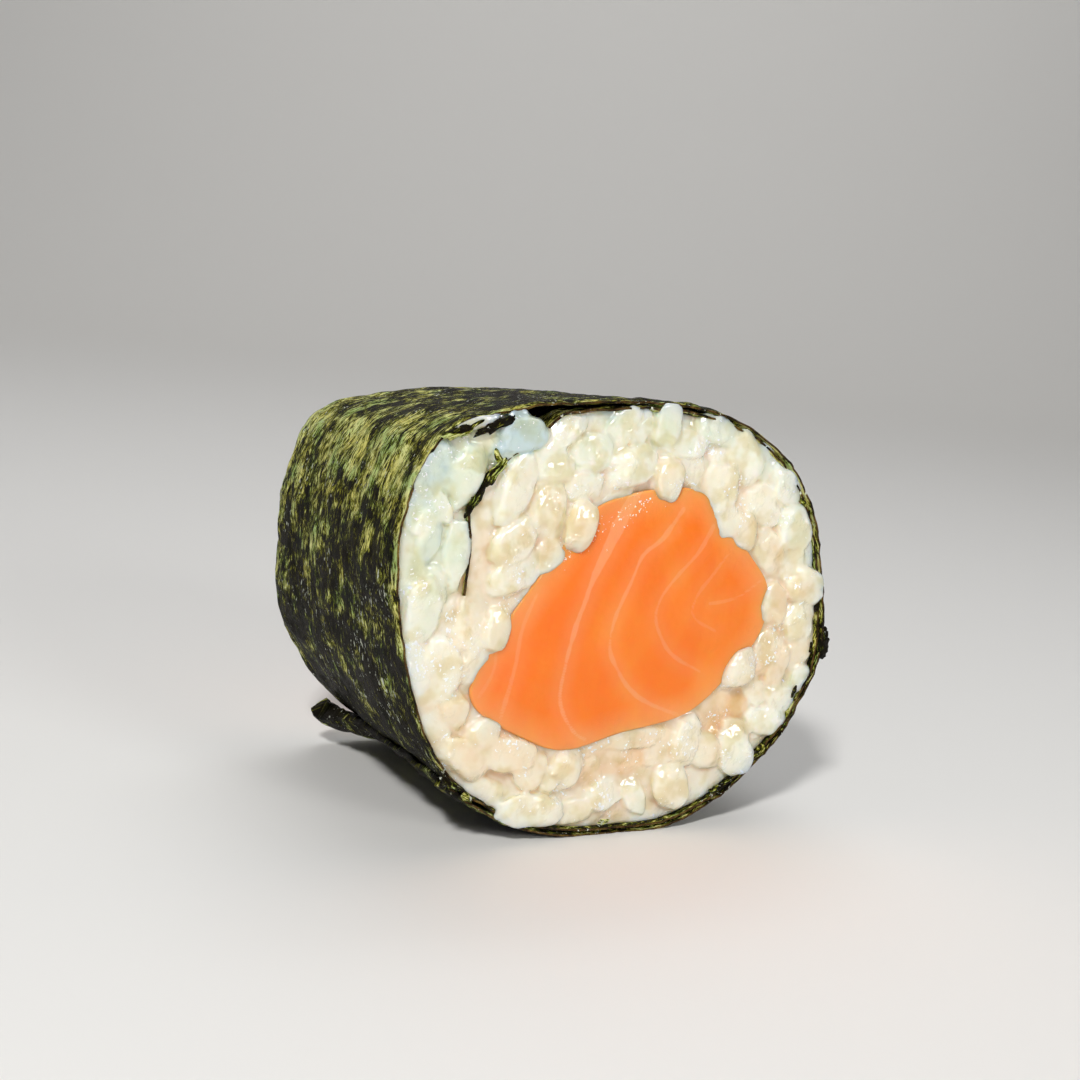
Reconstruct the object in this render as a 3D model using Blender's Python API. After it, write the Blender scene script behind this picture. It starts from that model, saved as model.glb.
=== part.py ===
"""A piece of salmon maki: one sheet of nori wound 1.65 turns round sushi rice, with a thick
stick of raw salmon through the middle.

Metres, +Z up. The piece lies on its side with its axis along Y, on a flat that its own weight
presses into it. The fuller cut face is at -Y, and the other end is a little smaller. Sizes
below are in millimetres, and a mesh is scaled to metres when it is made.
"""

import math

import bmesh
import bpy
import numpy as np
from mathutils import Vector, noise

MM = 0.001

# The piece
LENGTH = 27.0
TAPER = 0.06  # how much smaller the far section is
LENGTH_STEPS = 5
GAP = 0.3  # clearance between two solids
CENTRE = Vector((0.0, 17.0))  # of a section, in X and Z

# Outer face of the wrap at the near cut, clockwise from where the sheet starts its first turn
OUTLINE = (
    (-4.0, 33.9), (4.5, 33.8), (10.7, 31.9), (15.7, 28.0), (18.5, 21.4), (19.6, 14.4),
    (17.1, 8.0), (12.2, 3.0), (6.6, 0.2), (1.0, -0.15), (-4.6, 0.2), (-10.0, 2.1), (-15.2, 6.1),
    (-18.1, 13.4), (-19.7, 22.6), (-17.4, 30.4), (-11.6, 32.9),
)  # fmt: skip

# The nori sheet
SHEET = 0.35
LAYER_PITCH = 0.65  # from one layer of the sheet to the next
TURN_STEPS = 60
TURNS = 1.65
UNDER_TAIL = (0.66, 0.74)  # turns over which the inner layer comes out to be the side wall
TAIL_SHARE = 0.07  # turns at the outer end that lift off the wall
TAIL_LIFT = 1.7  # at the far end of the piece
EDGE_RAGGED = 0.25
# The inner end of the sheet, from its tip in the rice up to the first turn
TONGUE = (
    (-14.0, 19.2), (-13.8, 22.4), (-14.3, 25.6), (-12.8, 28.1), (-10.7, 29.8), (-9.0, 31.0),
    (-7.3, 32.6),
)  # fmt: skip
TONGUE_STEPS = 14

# Lumps that the rice presses into the wrap
WAVE_HEIGHT = 0.22
WAVE_LENGTH = 6.0
SIDE_BULGE = 0.9  # the left wall's extra fullness at the far end

# The salmon stick, clockwise from its upper left corner
FISH = (
    (-3.6, 25.8), (0.6, 27.2), (5.2, 27.4), (8.2, 25.4), (11.2, 22.3), (13.4, 19.6), (13.3, 16.2),
    (10.6, 12.5), (6.8, 9.4), (0.8, 8.1), (-4.2, 7.0), (-8.4, 8.4), (-12.2, 10.7), (-12.4, 13.6),
    (-9.6, 18.2), (-6.4, 22.6),
)  # fmt: skip
FISH_STEPS = 36
FISH_RIM = 0.5  # rounding of the cut edge
FISH_RECESS = 0.5  # from the cut plane to the rim of the cut face
FISH_CROWN = 0.35  # how far the middle of the cut face stands proud of its rim

# Cooked short-grain rice
GRAIN_LENGTH = (6.0, 7.4)
GRAIN_WIDTH = (2.5, 2.9)
GRAIN_SIDES = 6
GRAIN_RINGS = 5
GRAIN_BLUNTNESS = 0.55
GRAIN_TILTS = (12.0, 25.0, 55.0)  # limits of how far a grain points out of the cut face, in degrees
GRAIN_DEPTHS = (0.0, 1.0)  # of a grain's front behind the cut plane, uncovered and well covered
GRAINS_A_FACE = 56
CELL = 0.5  # spacing of the points that tell bare core from covered
TRIES = 260
OVERLAP_WEIGHT = 0.45
WALL_WEIGHT = 1.5
WALL_SLACK = 0.05  # how far an edge of a grain may reach past the clearance
CORE_RECESS = 1.9  # from the cut plane to the solid core
PROUD = 0.5  # how far a grain may stand out of the cut plane
WEDGE_END = 0.955  # turns at which the rice stops, where the two layers close on each other
SEEDS = {"near": 5, "far": 11}
# Grains that stand out on the near face: X, Z, angle in the face, tilt out of it, length
PLACED = (
    (-10.6, 31.2, 15, 50, 6.2), (-17.1, 26.6, 78, 8, 7.2), (-14.4, 29.4, 62, 12, 6.6),
    (-16.2, 20.4, 88, 6, 7.4), (-16.6, 13.6, 96, 8, 7.2), (-13.6, 16.0, 70, 20, 6.2),
    (-10.2, 25.8, 66, 8, 7.0), (-11.6, 20.6, 68, 14, 6.4), (-8.4, 22.0, 50, 30, 6.0),
    (-6.2, 25.8, 72, 40, 5.2), (-5.2, 30.6, 12, 20, 6.4), (0.6, 31.0, 60, 30, 6.6),
    (2.2, 29.0, 80, 50, 5.0), (12.7, 26.2, -45, 12, 7.0), (12.9, 12.6, 40, 24, 6.4),
    (4.9, 4.8, 62, 14, 7.2),
)  # fmt: skip


def clear_scene():
    for thing in list(bpy.data.objects):
        bpy.data.objects.remove(thing, do_unlink=True)


def smooth_step(low, high, value):
    share = min(1.0, max(0.0, (value - low) / (high - low)))
    return share * share * (3.0 - 2.0 * share)


def spline(points, closed, spans=8):
    """A Catmull-Rom curve through the points, as closely spaced points."""
    count = len(points)
    made = []
    for i in range(count if closed else count - 1):
        if closed:
            ends = [points[(i + k - 1) % count] for k in range(4)]
        else:
            ends = [points[min(max(i + k - 1, 0), count - 1)] for k in range(4)]
        a, b, c, d = (np.array(p, float) for p in ends)
        for t in np.arange(spans) / spans:
            made.append(
                0.5 * (2 * b + (c - a) * t + (2 * a - 5 * b + 4 * c - d) * t**2
                       + (3 * b - a - 3 * c + d) * t**3)
            )  # fmt: skip
    if not closed:
        made.append(np.array(points[-1], float))
    return np.array(made)


def evenly(curve, count, closed):
    """The curve again, as points that lie the same distance apart along it."""
    line = np.vstack([curve, curve[:1]]) if closed else curve
    along = np.concatenate([[0.0], np.cumsum(np.linalg.norm(np.diff(line, axis=0), axis=1))])
    wanted = np.linspace(0.0, along[-1], count + 1 if closed else count)
    made = np.stack([np.interp(wanted, along, line[:, k]) for k in (0, 1)], axis=1)
    return made[:-1] if closed else made


def right_hand(line, closed):
    """Unit vectors to the right of travel along the line, which on a clockwise line is inwards."""
    if closed:
        ahead = np.roll(line, -1, axis=0) - np.roll(line, 1, axis=0)
    else:
        ahead = np.gradient(line, axis=0)
    ahead /= np.linalg.norm(ahead, axis=1)[:, None]
    return np.stack([ahead[:, 1], -ahead[:, 0]], axis=1)


def far_share(y):
    """0 at the near cut, 1 at the far one."""
    return (y + LENGTH / 2) / LENGTH


def in_section(x, z, station):
    """Where a point of the near section's drawing lies at a station, from 0 to LENGTH_STEPS:
    smaller, fuller and wavier along."""
    far = station / LENGTH_STEPS
    out = math.hypot(x - CENTRE[0], z - CENTRE[1])
    turn = math.atan2(z - CENTRE[1], x - CENTRE[0])
    ring = Vector((math.cos(turn), math.sin(turn), 1.6 * far)) * (CENTRE[1] / WAVE_LENGTH)
    outer = smooth_step(0.6, 0.95, out / CENTRE[1]) * smooth_step(1.0, 6.0, z)
    swell = WAVE_HEIGHT * noise.noise(ring) * outer
    scale = 1.0 - TAPER * far
    x_out = (x + swell * math.cos(turn)) * scale
    z_out = (z + swell * math.sin(turn)) * scale
    x_out -= SIDE_BULGE * far * smooth_step(8.0, 18.0, -x) * math.exp(-(((z - 13.5) / 5.0) ** 2))
    return x_out, max(z_out, 0.0)


def placed(x, z, y):
    """The point at y, on the straight line that joins it in the stations on each side."""
    share = far_share(y) * LENGTH_STEPS
    before = min(max(math.floor(share), 0), LENGTH_STEPS - 1)
    near, far = (Vector(in_section(x, z, before + k)) for k in (0, 1))
    x_out, z_out = near.lerp(far, min(max(share - before, 0.0), 1.0))
    return Vector((x_out, y, z_out)) * MM


def sheet_line():
    """The middle of the sheet from its inner tip outwards, the turn that each point is at (below
    zero on the tongue), and the unit vectors to the inner side."""
    ring = evenly(spline(OUTLINE, True), TURN_STEPS, True)
    inward = right_hand(ring, True)
    wound = []
    turns = []
    for k in range(round(TURNS * TURN_STEPS) + 1):
        turn = k / TURN_STEPS
        inner = 1.0 - smooth_step(*UNDER_TAIL, turn)
        depth = SHEET / 2 + LAYER_PITCH * inner
        i = k % TURN_STEPS
        wound.append(ring[i] + inward[i] * depth)
        turns.append(turn)
    tongue = evenly(spline((*TONGUE, tuple(wound[0])), False), TONGUE_STEPS + 1, False)[:-1]
    line = np.vstack([tongue, wound])
    turns = [-1.0] * len(tongue) + turns
    return line, np.array(turns), right_hand(line, False)


def tail_lift(turn, y):
    """How far the sheet's outer end stands off the wall, which it does more towards the far cut."""
    return TAIL_LIFT * far_share(y) ** 1.5 * smooth_step(TURNS - TAIL_SHARE, TURNS, turn)


def rice_room(line, turns, inward):
    """The outline that the rice fills in the near section, GAP inside the sheet."""
    stand_off = SHEET / 2 + GAP
    last = int(np.searchsorted(turns, WEDGE_END))
    tip = line.copy()
    tip[0] -= (line[1] - line[0]) / np.linalg.norm(line[1] - line[0]) * GAP
    inside = (tip + inward * stand_off)[:last]
    behind = (tip - inward * stand_off)[: TONGUE_STEPS - 2][::-1]
    return np.vstack([inside, behind])


def fish_outline(grown=0.0):
    line = evenly(spline(FISH, True), FISH_STEPS, True)
    return line - right_hand(line, True) * grown


def mesh_object(name, vertices, faces, material):
    mesh = bpy.data.meshes.new(name)
    mesh.from_pydata([tuple(v) for v in vertices], [], faces)
    mesh.shade_smooth()
    thing = bpy.data.objects.new(name, mesh)
    bpy.context.collection.objects.link(thing)
    thing.data.materials.append(material)
    return thing


def plain_material(name, colour, roughness):
    material = bpy.data.materials.new(name)
    material.use_nodes = True
    shader = material.node_tree.nodes["Principled BSDF"]
    shader.inputs["Base Color"].default_value = (*colour, 1.0)
    shader.inputs["Roughness"].default_value = roughness
    shader.inputs["Metallic"].default_value = 0.0
    return material


def cut_edge(turn, y):
    """A cut edge of the sheet wanders a little, as wet nori tears under the knife."""
    wander = noise.noise(Vector((turn * 30.0, y, 2.0)))
    return y + EDGE_RAGGED * wander * (abs(y) * 2 / LENGTH > 0.99)


def make_nori(line, turns, inward):
    stations = np.linspace(-LENGTH / 2, LENGTH / 2, LENGTH_STEPS + 1)
    vertices = []
    for side in (-1, 1):
        for y in stations:
            for point, turn, normal in zip(line, turns, inward):
                lift = tail_lift(turn, y)
                x, z = point + normal * (side * SHEET / 2 - lift)
                vertices.append(placed(x, z, cut_edge(turn, y)))
    across = len(line)
    back = across * len(stations)
    faces = []
    for j in range(LENGTH_STEPS):
        for i in range(across - 1):
            a, b = j * across + i, j * across + i + 1
            c, d = b + across, a + across
            faces += [(a, b, c), (a, c, d), (back + a, back + c, back + b), (back + a, back + d, back + c)]
    for j, turned in ((0, False), (LENGTH_STEPS, True)):
        for i in range(across - 1):
            a, b = j * across + i, j * across + i + 1
            strip = (a, back + a, back + b, b)
            faces.append(strip[::-1] if turned else strip)
    for i, turned in ((0, True), (across - 1, False)):
        for j in range(LENGTH_STEPS):
            a, b = j * across + i, (j + 1) * across + i
            strip = (a, back + a, back + b, b)
            faces.append(strip[::-1] if turned else strip)
    return mesh_object("nori_wrap", vertices, faces, plain_material("nori", (0.02, 0.03, 0.008), 0.35))


def make_salmon():
    """The stick's section, swept along the piece, with rounded rims and slightly crowned cut faces."""
    half = LENGTH / 2 - FISH_RECESS
    rim = [(-half, FISH_RIM), (-half + FISH_RIM, 0.0)]
    middle = [(y, 0.0) for y in np.linspace(-half, half, LENGTH_STEPS + 1)[1:-1]]
    stations = rim + middle + [(-y, inset) for y, inset in rim[::-1]]
    vertices = []
    for y, inset in stations:
        vertices += [placed(x, z, y) for x, z in fish_outline(-inset)]
    count = FISH_STEPS
    faces = []
    for j in range(len(stations) - 1):
        for i in range(count):
            a, b = j * count + i, j * count + (i + 1) % count
            faces.append((a, a + count, b + count, b))
    heart = fish_outline().mean(axis=0)
    for y, first, turned in ((-half, 0, True), (half, (len(stations) - 1) * count, False)):
        ring = []
        for x, z in heart + (fish_outline() - heart) * 0.55:
            ring.append(len(vertices))
            vertices.append(placed(x, z, y + math.copysign(FISH_CROWN, y)))
        for i in range(count):
            n = (i + 1) % count
            quad = (first + i, ring[i], ring[n], first + n)
            faces.append(quad[::-1] if turned else quad)
        faces.append(tuple(ring[::-1] if turned else ring))
    made = mesh_object("salmon", vertices, faces, plain_material("salmon", (0.9, 0.24, 0.06), 0.3))
    recalculate(made)
    return made


def recalculate(thing):
    shape = bmesh.new()
    shape.from_mesh(thing.data)
    bmesh.ops.recalc_face_normals(shape, faces=shape.faces)
    shape.to_mesh(thing.data)
    shape.free()


def make_core(room, hole, material):
    """The rice's own solid, recessed from both cut faces, with the salmon's channel through it."""
    stations = np.linspace(-LENGTH / 2 + CORE_RECESS, LENGTH / 2 - CORE_RECESS, LENGTH_STEPS + 1)
    shape = bmesh.new()
    caps = {0: [], len(stations) - 1: []}
    for outline in (room, hole):
        rows = [[shape.verts.new(placed(x, z, y)) for x, z in outline] for y in stations]
        count = len(outline)
        for near, far in zip(rows, rows[1:]):
            for i in range(count):
                n = (i + 1) % count
                shape.faces.new((near[i], near[n], far[n], far[i]))
        for j, found in caps.items():
            found += [shape.edges.get((rows[j][i], rows[j][(i + 1) % count])) for i in range(count)]
    for found in caps.values():
        bmesh.ops.triangle_fill(shape, use_beauty=True, use_dissolve=False, edges=found)
    bmesh.ops.recalc_face_normals(shape, faces=shape.faces)
    mesh = bpy.data.meshes.new("rice")
    shape.to_mesh(mesh)
    shape.free()
    core = bpy.data.objects.new("rice", mesh)
    bpy.context.collection.objects.link(core)
    core.data.materials.append(material)
    return core


def nearest_on(outline, points):
    """For each point, the nearest point on the closed outline and whether it is inside."""
    start = outline
    step = np.roll(outline, -1, axis=0) - outline
    away = points[:, None, :] - start[None]
    share = np.clip((away * step).sum(-1) / (step**2).sum(-1), 0.0, 1.0)
    found = start[None] + step[None] * share[..., None]
    which = np.linalg.norm(points[:, None, :] - found, axis=-1).argmin(axis=1)
    nearest = found[np.arange(len(points)), which]
    end = start + step
    x, z = points[:, :1], points[:, 1:]
    crosses = (start[:, 1] > z) != (end[:, 1] > z)
    rise = np.where(step[:, 1] == 0, 1e-9, step[:, 1])
    inside = (crosses & (x < start[:, 0] + (z - start[:, 1]) / rise * step[:, 0])).sum(axis=1) % 2 == 1
    return nearest, inside


def footprint(points, x, z, angle, reach, radius):
    """Which points the grain covers as seen straight at the cut face."""
    along = (points[:, 0] - x) * math.cos(angle) + (points[:, 1] - z) * math.sin(angle)
    across = (points[:, 1] - z) * math.cos(angle) - (points[:, 0] - x) * math.sin(angle)
    past = np.maximum(np.abs(along) - reach, 0.0)
    return past**2 + across**2 < radius**2


def laid_grains(room, hole, seed, placed_first):
    """The rice at one cut face, each grain put where it covers most that is bare and least that
    is not rice. Rows of centre (x, z, depth), direction (x, z, depth), length and width."""
    rng = np.random.default_rng(seed)
    low, high = room.min(axis=0) - GRAIN_WIDTH[1], room.max(axis=0) + GRAIN_WIDTH[1]
    axes = [np.arange(low[k], high[k], CELL) for k in (0, 1)]
    cells = np.stack(np.meshgrid(*axes), axis=-1).reshape(-1, 2)
    is_rice = nearest_on(room, cells)[1] & ~nearest_on(hole, cells)[1]
    cover = np.zeros(len(cells), int)
    rows = []
    while len(rows) < GRAINS_A_FACE:
        best, best_score = None, -math.inf
        if len(rows) < len(placed_first):
            options = [placed_first[len(rows)]]
        else:
            bare = cells[is_rice & (cover == 0)]
            if not len(bare):
                break
            spots = bare[rng.integers(0, len(bare), TRIES)] + rng.normal(0.0, 1.0, (TRIES, 2))
            spots = spots[nearest_on(room, spots)[1] & ~nearest_on(hole, spots)[1]]
            count = len(spots)
            about = np.arctan2(spots[:, 1] - CENTRE[1], spots[:, 0] - CENTRE[0]) + math.pi / 2
            angles = np.degrees(about) + rng.normal(0.0, 50.0, count)
            tilts = rng.uniform(-1.0, 1.0, count) * rng.choice(GRAIN_TILTS, count)
            options = zip(*spots.T, angles, tilts, rng.uniform(*GRAIN_LENGTH, count))
        for x, z, angle, tilt, length in options:
            width = GRAIN_WIDTH[0] + (GRAIN_WIDTH[1] - GRAIN_WIDTH[0]) * (length * 7.0 % 1.0)
            turn, rise = math.radians(angle), math.radians(tilt)
            reach = (length - width) / 2 * math.cos(rise)
            under = footprint(cells, x, z, turn, reach, width / 2)
            score = (under & is_rice & (cover == 0)).sum() - WALL_WEIGHT * (under & ~is_rice).sum()
            score -= OVERLAP_WEIGHT * (under & is_rice & (cover > 0)).sum()
            if score > best_score:
                best, best_score = (x, z, turn, rise, length, width, under), score
        x, z, turn, rise, length, width, under = best
        hidden = (cover[under & is_rice] > 0).mean()
        front = GRAIN_DEPTHS[0] + (GRAIN_DEPTHS[1] - GRAIN_DEPTHS[0]) * min(1.0, 1.6 * hidden)
        front += rng.uniform(-0.15, 0.25)
        depth = front + width / 2 + (length - width) / 2 * abs(math.sin(rise))
        way = (math.cos(turn) * math.cos(rise), math.sin(turn) * math.cos(rise), math.sin(rise))
        rows.append((x, z, depth, *way, length, width))
        cover[under] += 1
    return rows


def first_of_ring(ring):
    return 0 if ring == 0 else 1 + (ring - 1) * GRAIN_SIDES


def grain_faces():
    faces = []
    last = first_of_ring(GRAIN_RINGS)
    for k in range(GRAIN_SIDES):
        n = (k + 1) % GRAIN_SIDES
        ring = first_of_ring(GRAIN_RINGS - 1)
        faces += [(0, 1 + k, 1 + n), (last, ring + n, ring + k)]
        for r in range(1, GRAIN_RINGS - 1):
            near, far = first_of_ring(r), first_of_ring(r + 1)
            faces += [(near + k, far + n, near + n), (near + k, far + k, far + n)]
    return faces


def stopped(starts, ends, outlines):
    """For each pair of points, where the straight way from start to end first meets an outline,
    or the end."""
    run = ends - starts
    least = np.ones(len(run))
    for outline in outlines:
        step = (np.roll(outline, -1, axis=0) - outline)[None]
        away = outline[None] - starts[:, None]
        cross = run[:, :1] * step[..., 1] - run[:, 1:] * step[..., 0]
        cross = np.where(np.abs(cross) < 1e-9, 1e-9, cross)
        along = (away[..., 0] * step[..., 1] - away[..., 1] * step[..., 0]) / cross
        across = (away[..., 0] * run[:, 1:] - away[..., 1] * run[:, :1]) / cross
        hit = (across >= 0) & (across <= 1) & (along > 0)
        least = np.minimum(least, np.where(hit, along, 1.0).min(axis=1))
    return starts + run * least[:, None]


def kept_in(hearts, flat, room, hole, faces, short):
    """The grain's points, each stopped a little short of the first wall on its way out from its
    ring's heart. Where an edge still crosses a wall, its ends are drawn in."""
    flat = hearts + (stopped(hearts, flat, (room, hole)) - hearts) * short
    edges = np.array(sorted({tuple(sorted((f[i], f[i - 1]))) for f in faces for i in range(3)}))
    for _ in range(30):
        crossing = np.zeros(len(edges), bool)
        for share in (0.25, 0.5, 0.75):
            spots = flat[edges[:, 0]] * (1 - share) + flat[edges[:, 1]] * share
            for outline, keep_in in ((room, True), (hole, False)):
                nearest, inside = nearest_on(outline, spots)
                past = np.linalg.norm(nearest - spots, axis=1) > WALL_SLACK
                crossing |= (inside != keep_in) & past
        if not crossing.any():
            break
        ends = np.unique(edges[crossing])
        flat[ends] += (hearts[ends] - flat[ends]) * 0.1
    return flat


def grain_shape(row, room, hole, toward):
    """One grain's points and faces. toward is -1 at the near cut face and 1 at the far one."""
    x, z, depth, along_x, along_z, along_y, length, width = row
    axis = Vector((along_x, along_z, along_y)).normalized()
    side = axis.cross(Vector((0.0, 0.0, 1.0))).normalized()
    up = axis.cross(side)
    hearts = []
    points = []
    for r in range(GRAIN_RINGS + 1):
        around = math.pi * r / GRAIN_RINGS
        heart = Vector((x, z, depth)) + axis * (math.cos(around) * length / 2)
        radius = width / 2 * math.sin(around) ** GRAIN_BLUNTNESS
        for k in range(1 if r in (0, GRAIN_RINGS) else GRAIN_SIDES):
            turn = 2 * math.pi * (k + 0.5 * (r % 2)) / GRAIN_SIDES
            hearts.append(heart)
            points.append(heart + (side * math.cos(turn) + up * (0.9 * math.sin(turn))) * radius)
    hearts, points = np.array(hearts), np.array(points)
    middle = np.broadcast_to((x, z), (len(hearts), 2))
    faces = grain_faces()
    hearts = middle + (stopped(middle, hearts[:, :2], (room, hole)) - middle) * 0.96
    short = 0.99 - 0.06 * (width * 50.0 % 1.0)
    flat = kept_in(hearts, points[:, :2], room, hole, faces, short)
    deep = np.maximum(points[:, 2], -PROUD)
    return [placed(*spot, toward * (LENGTH / 2 - d)) for spot, d in zip(flat, deep)], faces


def main_shell(thing):
    """Leaves only the outer skin: what fusing sealed in is filled, and loose scraps go."""
    shape = bmesh.new()
    shape.from_mesh(thing.data)
    left = set(shape.faces)
    shells = []
    while left:
        found = {left.pop()}
        edge = list(found)
        while edge:
            for side in edge.pop().edges:
                for face in side.link_faces:
                    if face in left:
                        left.remove(face)
                        found.add(face)
                        edge.append(face)
        shells.append(found)
    keep = max(shells, key=len)
    bmesh.ops.delete(shape, geom=[f for f in shape.faces if f not in keep], context="FACES")
    shape.to_mesh(thing.data)
    shape.free()


def make_rice(room):
    material = plain_material("rice", (0.86, 0.84, 0.7), 0.35)
    hole = fish_outline(GAP)
    core = make_core(room + right_hand(room, True) * 0.05, hole, material)
    grains = bpy.data.collections.new("grains")
    bpy.context.scene.collection.children.link(grains)
    for face, toward in (("near", -1), ("far", 1)):
        pinned = PLACED if face == "near" else ()
        for k, row in enumerate(laid_grains(room, hole, SEEDS[face], pinned)):
            points, faces = grain_shape(row, room, hole, toward)
            grain = mesh_object(f"{face}_grain_{k}", points, faces, material)
            recalculate(grain)
            bpy.context.collection.objects.unlink(grain)
            grains.objects.link(grain)
    fuse = core.modifiers.new("fuse", "BOOLEAN")
    fuse.operation = "UNION"
    fuse.operand_type = "COLLECTION"
    fuse.collection = grains
    fuse.solver = "MANIFOLD"
    bpy.context.view_layer.objects.active = core
    bpy.ops.object.modifier_apply(modifier=fuse.name)
    for grain in list(grains.objects):
        bpy.data.objects.remove(grain, do_unlink=True)
    bpy.data.collections.remove(grains)
    main_shell(core)
    return core


def main():
    clear_scene()
    line, turns, inward = sheet_line()
    make_nori(line, turns, inward)
    make_salmon()
    make_rice(rice_room(line, turns, inward))


main()
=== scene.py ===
"""The looks of a piece of salmon maki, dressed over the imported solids.

The wrap, the rice and the salmon are each made again at the solids' own places: a crinkled sheet
of nori, grains of rice stuck to each other, and a stick of salmon with its lines of fat. Sections
are drawn in millimetres, X to the right and Z up, and placed along Y from the near cut.
"""

from functools import partial
from math import atan2, cos, exp, hypot, inf, pi, radians, sin

import bpy
import numpy as np
from mathutils import Matrix, Vector, noise
from numpy.linalg import norm


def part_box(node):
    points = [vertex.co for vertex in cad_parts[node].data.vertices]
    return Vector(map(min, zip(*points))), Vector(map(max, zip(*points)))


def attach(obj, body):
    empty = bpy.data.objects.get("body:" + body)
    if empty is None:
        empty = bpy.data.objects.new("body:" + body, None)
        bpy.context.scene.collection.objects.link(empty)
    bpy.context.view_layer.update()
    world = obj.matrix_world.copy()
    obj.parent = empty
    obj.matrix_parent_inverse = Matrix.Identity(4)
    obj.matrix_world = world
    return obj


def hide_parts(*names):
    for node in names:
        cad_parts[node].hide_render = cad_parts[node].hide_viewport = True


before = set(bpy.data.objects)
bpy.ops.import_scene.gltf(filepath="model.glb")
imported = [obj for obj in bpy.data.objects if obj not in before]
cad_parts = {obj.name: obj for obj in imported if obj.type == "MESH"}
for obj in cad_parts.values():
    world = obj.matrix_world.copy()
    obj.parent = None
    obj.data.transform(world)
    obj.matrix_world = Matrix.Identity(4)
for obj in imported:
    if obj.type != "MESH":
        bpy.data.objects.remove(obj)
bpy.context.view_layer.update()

MM = 0.001

# The frame: the piece's own box gives its length and where its axis lies
wrap_low, wrap_high = (Vector(corner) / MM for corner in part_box("nori_wrap"))
EDGE_RAGGED = 0.35  # how much the wrap's cut edges wander
LENGTH = wrap_high.y - wrap_low.y - EDGE_RAGGED
MID_Y = (wrap_high.y + wrap_low.y) / 2
HALF = LENGTH / 2

# Sections, as the solids have them
TAPER = 0.06  # how much smaller the far section is
CENTRE = Vector((0.0, 17.0))
OUTLINE = (
    (-4.0, 33.9), (4.5, 33.8), (10.7, 31.9), (15.7, 28.0), (18.5, 21.4), (19.6, 14.4),
    (17.1, 8.0), (12.2, 3.0), (6.6, 0.2), (1.0, -0.15), (-4.6, 0.2), (-10.0, 2.1), (-15.2, 6.1),
    (-18.1, 13.4), (-19.7, 22.6), (-17.4, 30.4), (-11.6, 32.9),
)  # fmt: skip
TONGUE = (
    (-14.0, 19.2), (-13.8, 22.4), (-14.3, 25.6), (-12.8, 28.1), (-10.7, 29.8), (-9.0, 31.0),
    (-7.3, 32.6),
)  # fmt: skip
FISH = (
    (-3.6, 25.8), (0.6, 27.2), (5.2, 27.4), (8.2, 25.4), (11.2, 22.3), (13.4, 19.6), (13.3, 16.2),
    (10.6, 12.5), (6.8, 9.4), (0.8, 8.1), (-4.2, 7.0), (-8.4, 8.4), (-12.2, 10.7), (-12.4, 13.6),
    (-9.6, 18.2), (-6.4, 22.6),
)  # fmt: skip
SHEET = 0.35
LAYER_PITCH = 0.45
TURNS = 1.65
UNDER_TAIL = (0.66, 0.74)
TAIL_SHARE = 0.07
TAIL_LIFT = 1.3
WAVE_HEIGHT = 0.22
WAVE_LENGTH = 6.0
SIDE_BULGE = 0.9


# ------ drawing


def smooth_step(low, high, value):
    share = min(1.0, max(0.0, (value - low) / (high - low)))
    return share * share * (3.0 - 2.0 * share)


def spline(points, closed, spans=12):
    """A Catmull-Rom curve through the points, as closely spaced points."""
    count = len(points)
    made = []
    for i in range(count if closed else count - 1):
        if closed:
            ends = [points[(i + k - 1) % count] for k in range(4)]
        else:
            ends = [points[min(max(i + k - 1, 0), count - 1)] for k in range(4)]
        a, b, c, d = (np.array(p, float) for p in ends)
        for t in np.arange(spans) / spans:
            bend = (2 * a - 5 * b + 4 * c - d) * t**2 + (3 * b - a - 3 * c + d) * t**3
            made.append(0.5 * (2 * b + (c - a) * t + bend))
    if not closed:
        made.append(np.array(points[-1], float))
    return np.array(made)


def evenly(curve, count, closed):
    """The curve again, as points that lie the same distance apart along it."""
    line = np.vstack([curve, curve[:1]]) if closed else curve
    along = np.concatenate([[0.0], np.cumsum(norm(np.diff(line, axis=0), axis=1))])
    wanted = np.linspace(0.0, along[-1], count + 1 if closed else count)
    made = np.stack([np.interp(wanted, along, line[:, k]) for k in (0, 1)], axis=1)
    return made[:-1] if closed else made


def right_hand(line, closed):
    """Unit vectors to the right of travel along the line, which on a clockwise line is inwards."""
    if closed:
        ahead = np.roll(line, -1, axis=0) - np.roll(line, 1, axis=0)
    else:
        ahead = np.gradient(line, axis=0)
    ahead /= norm(ahead, axis=1)[:, None]
    return np.stack([ahead[:, 1], -ahead[:, 0]], axis=1)


def far_share(y):
    """0 at the near cut, 1 at the far one."""
    return (y + HALF) / LENGTH


def placed(x, z, y):
    """World place of a point of the near section's drawing, carried to y along the piece."""
    far = min(max(far_share(y), 0.0), 1.0)
    out = hypot(x - CENTRE[0], z - CENTRE[1])
    turn = atan2(z - CENTRE[1], x - CENTRE[0])
    ring = Vector((cos(turn), sin(turn), 1.6 * far)) * (CENTRE[1] / WAVE_LENGTH)
    outer = smooth_step(0.6, 0.95, out / CENTRE[1]) * smooth_step(1.0, 6.0, z)
    swell = WAVE_HEIGHT * noise.noise(ring) * outer
    scale = 1.0 - TAPER * far
    x_out = (x + swell * cos(turn)) * scale
    z_out = (z + swell * sin(turn)) * scale
    x_out -= SIDE_BULGE * far * smooth_step(8.0, 18.0, -x) * exp(-(((z - 13.5) / 5.0) ** 2))
    return Vector((x_out, y + MID_Y, max(z_out, 0.0))) * MM


AT_ONCE = 20_000  # points, so that the tables stay small


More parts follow.
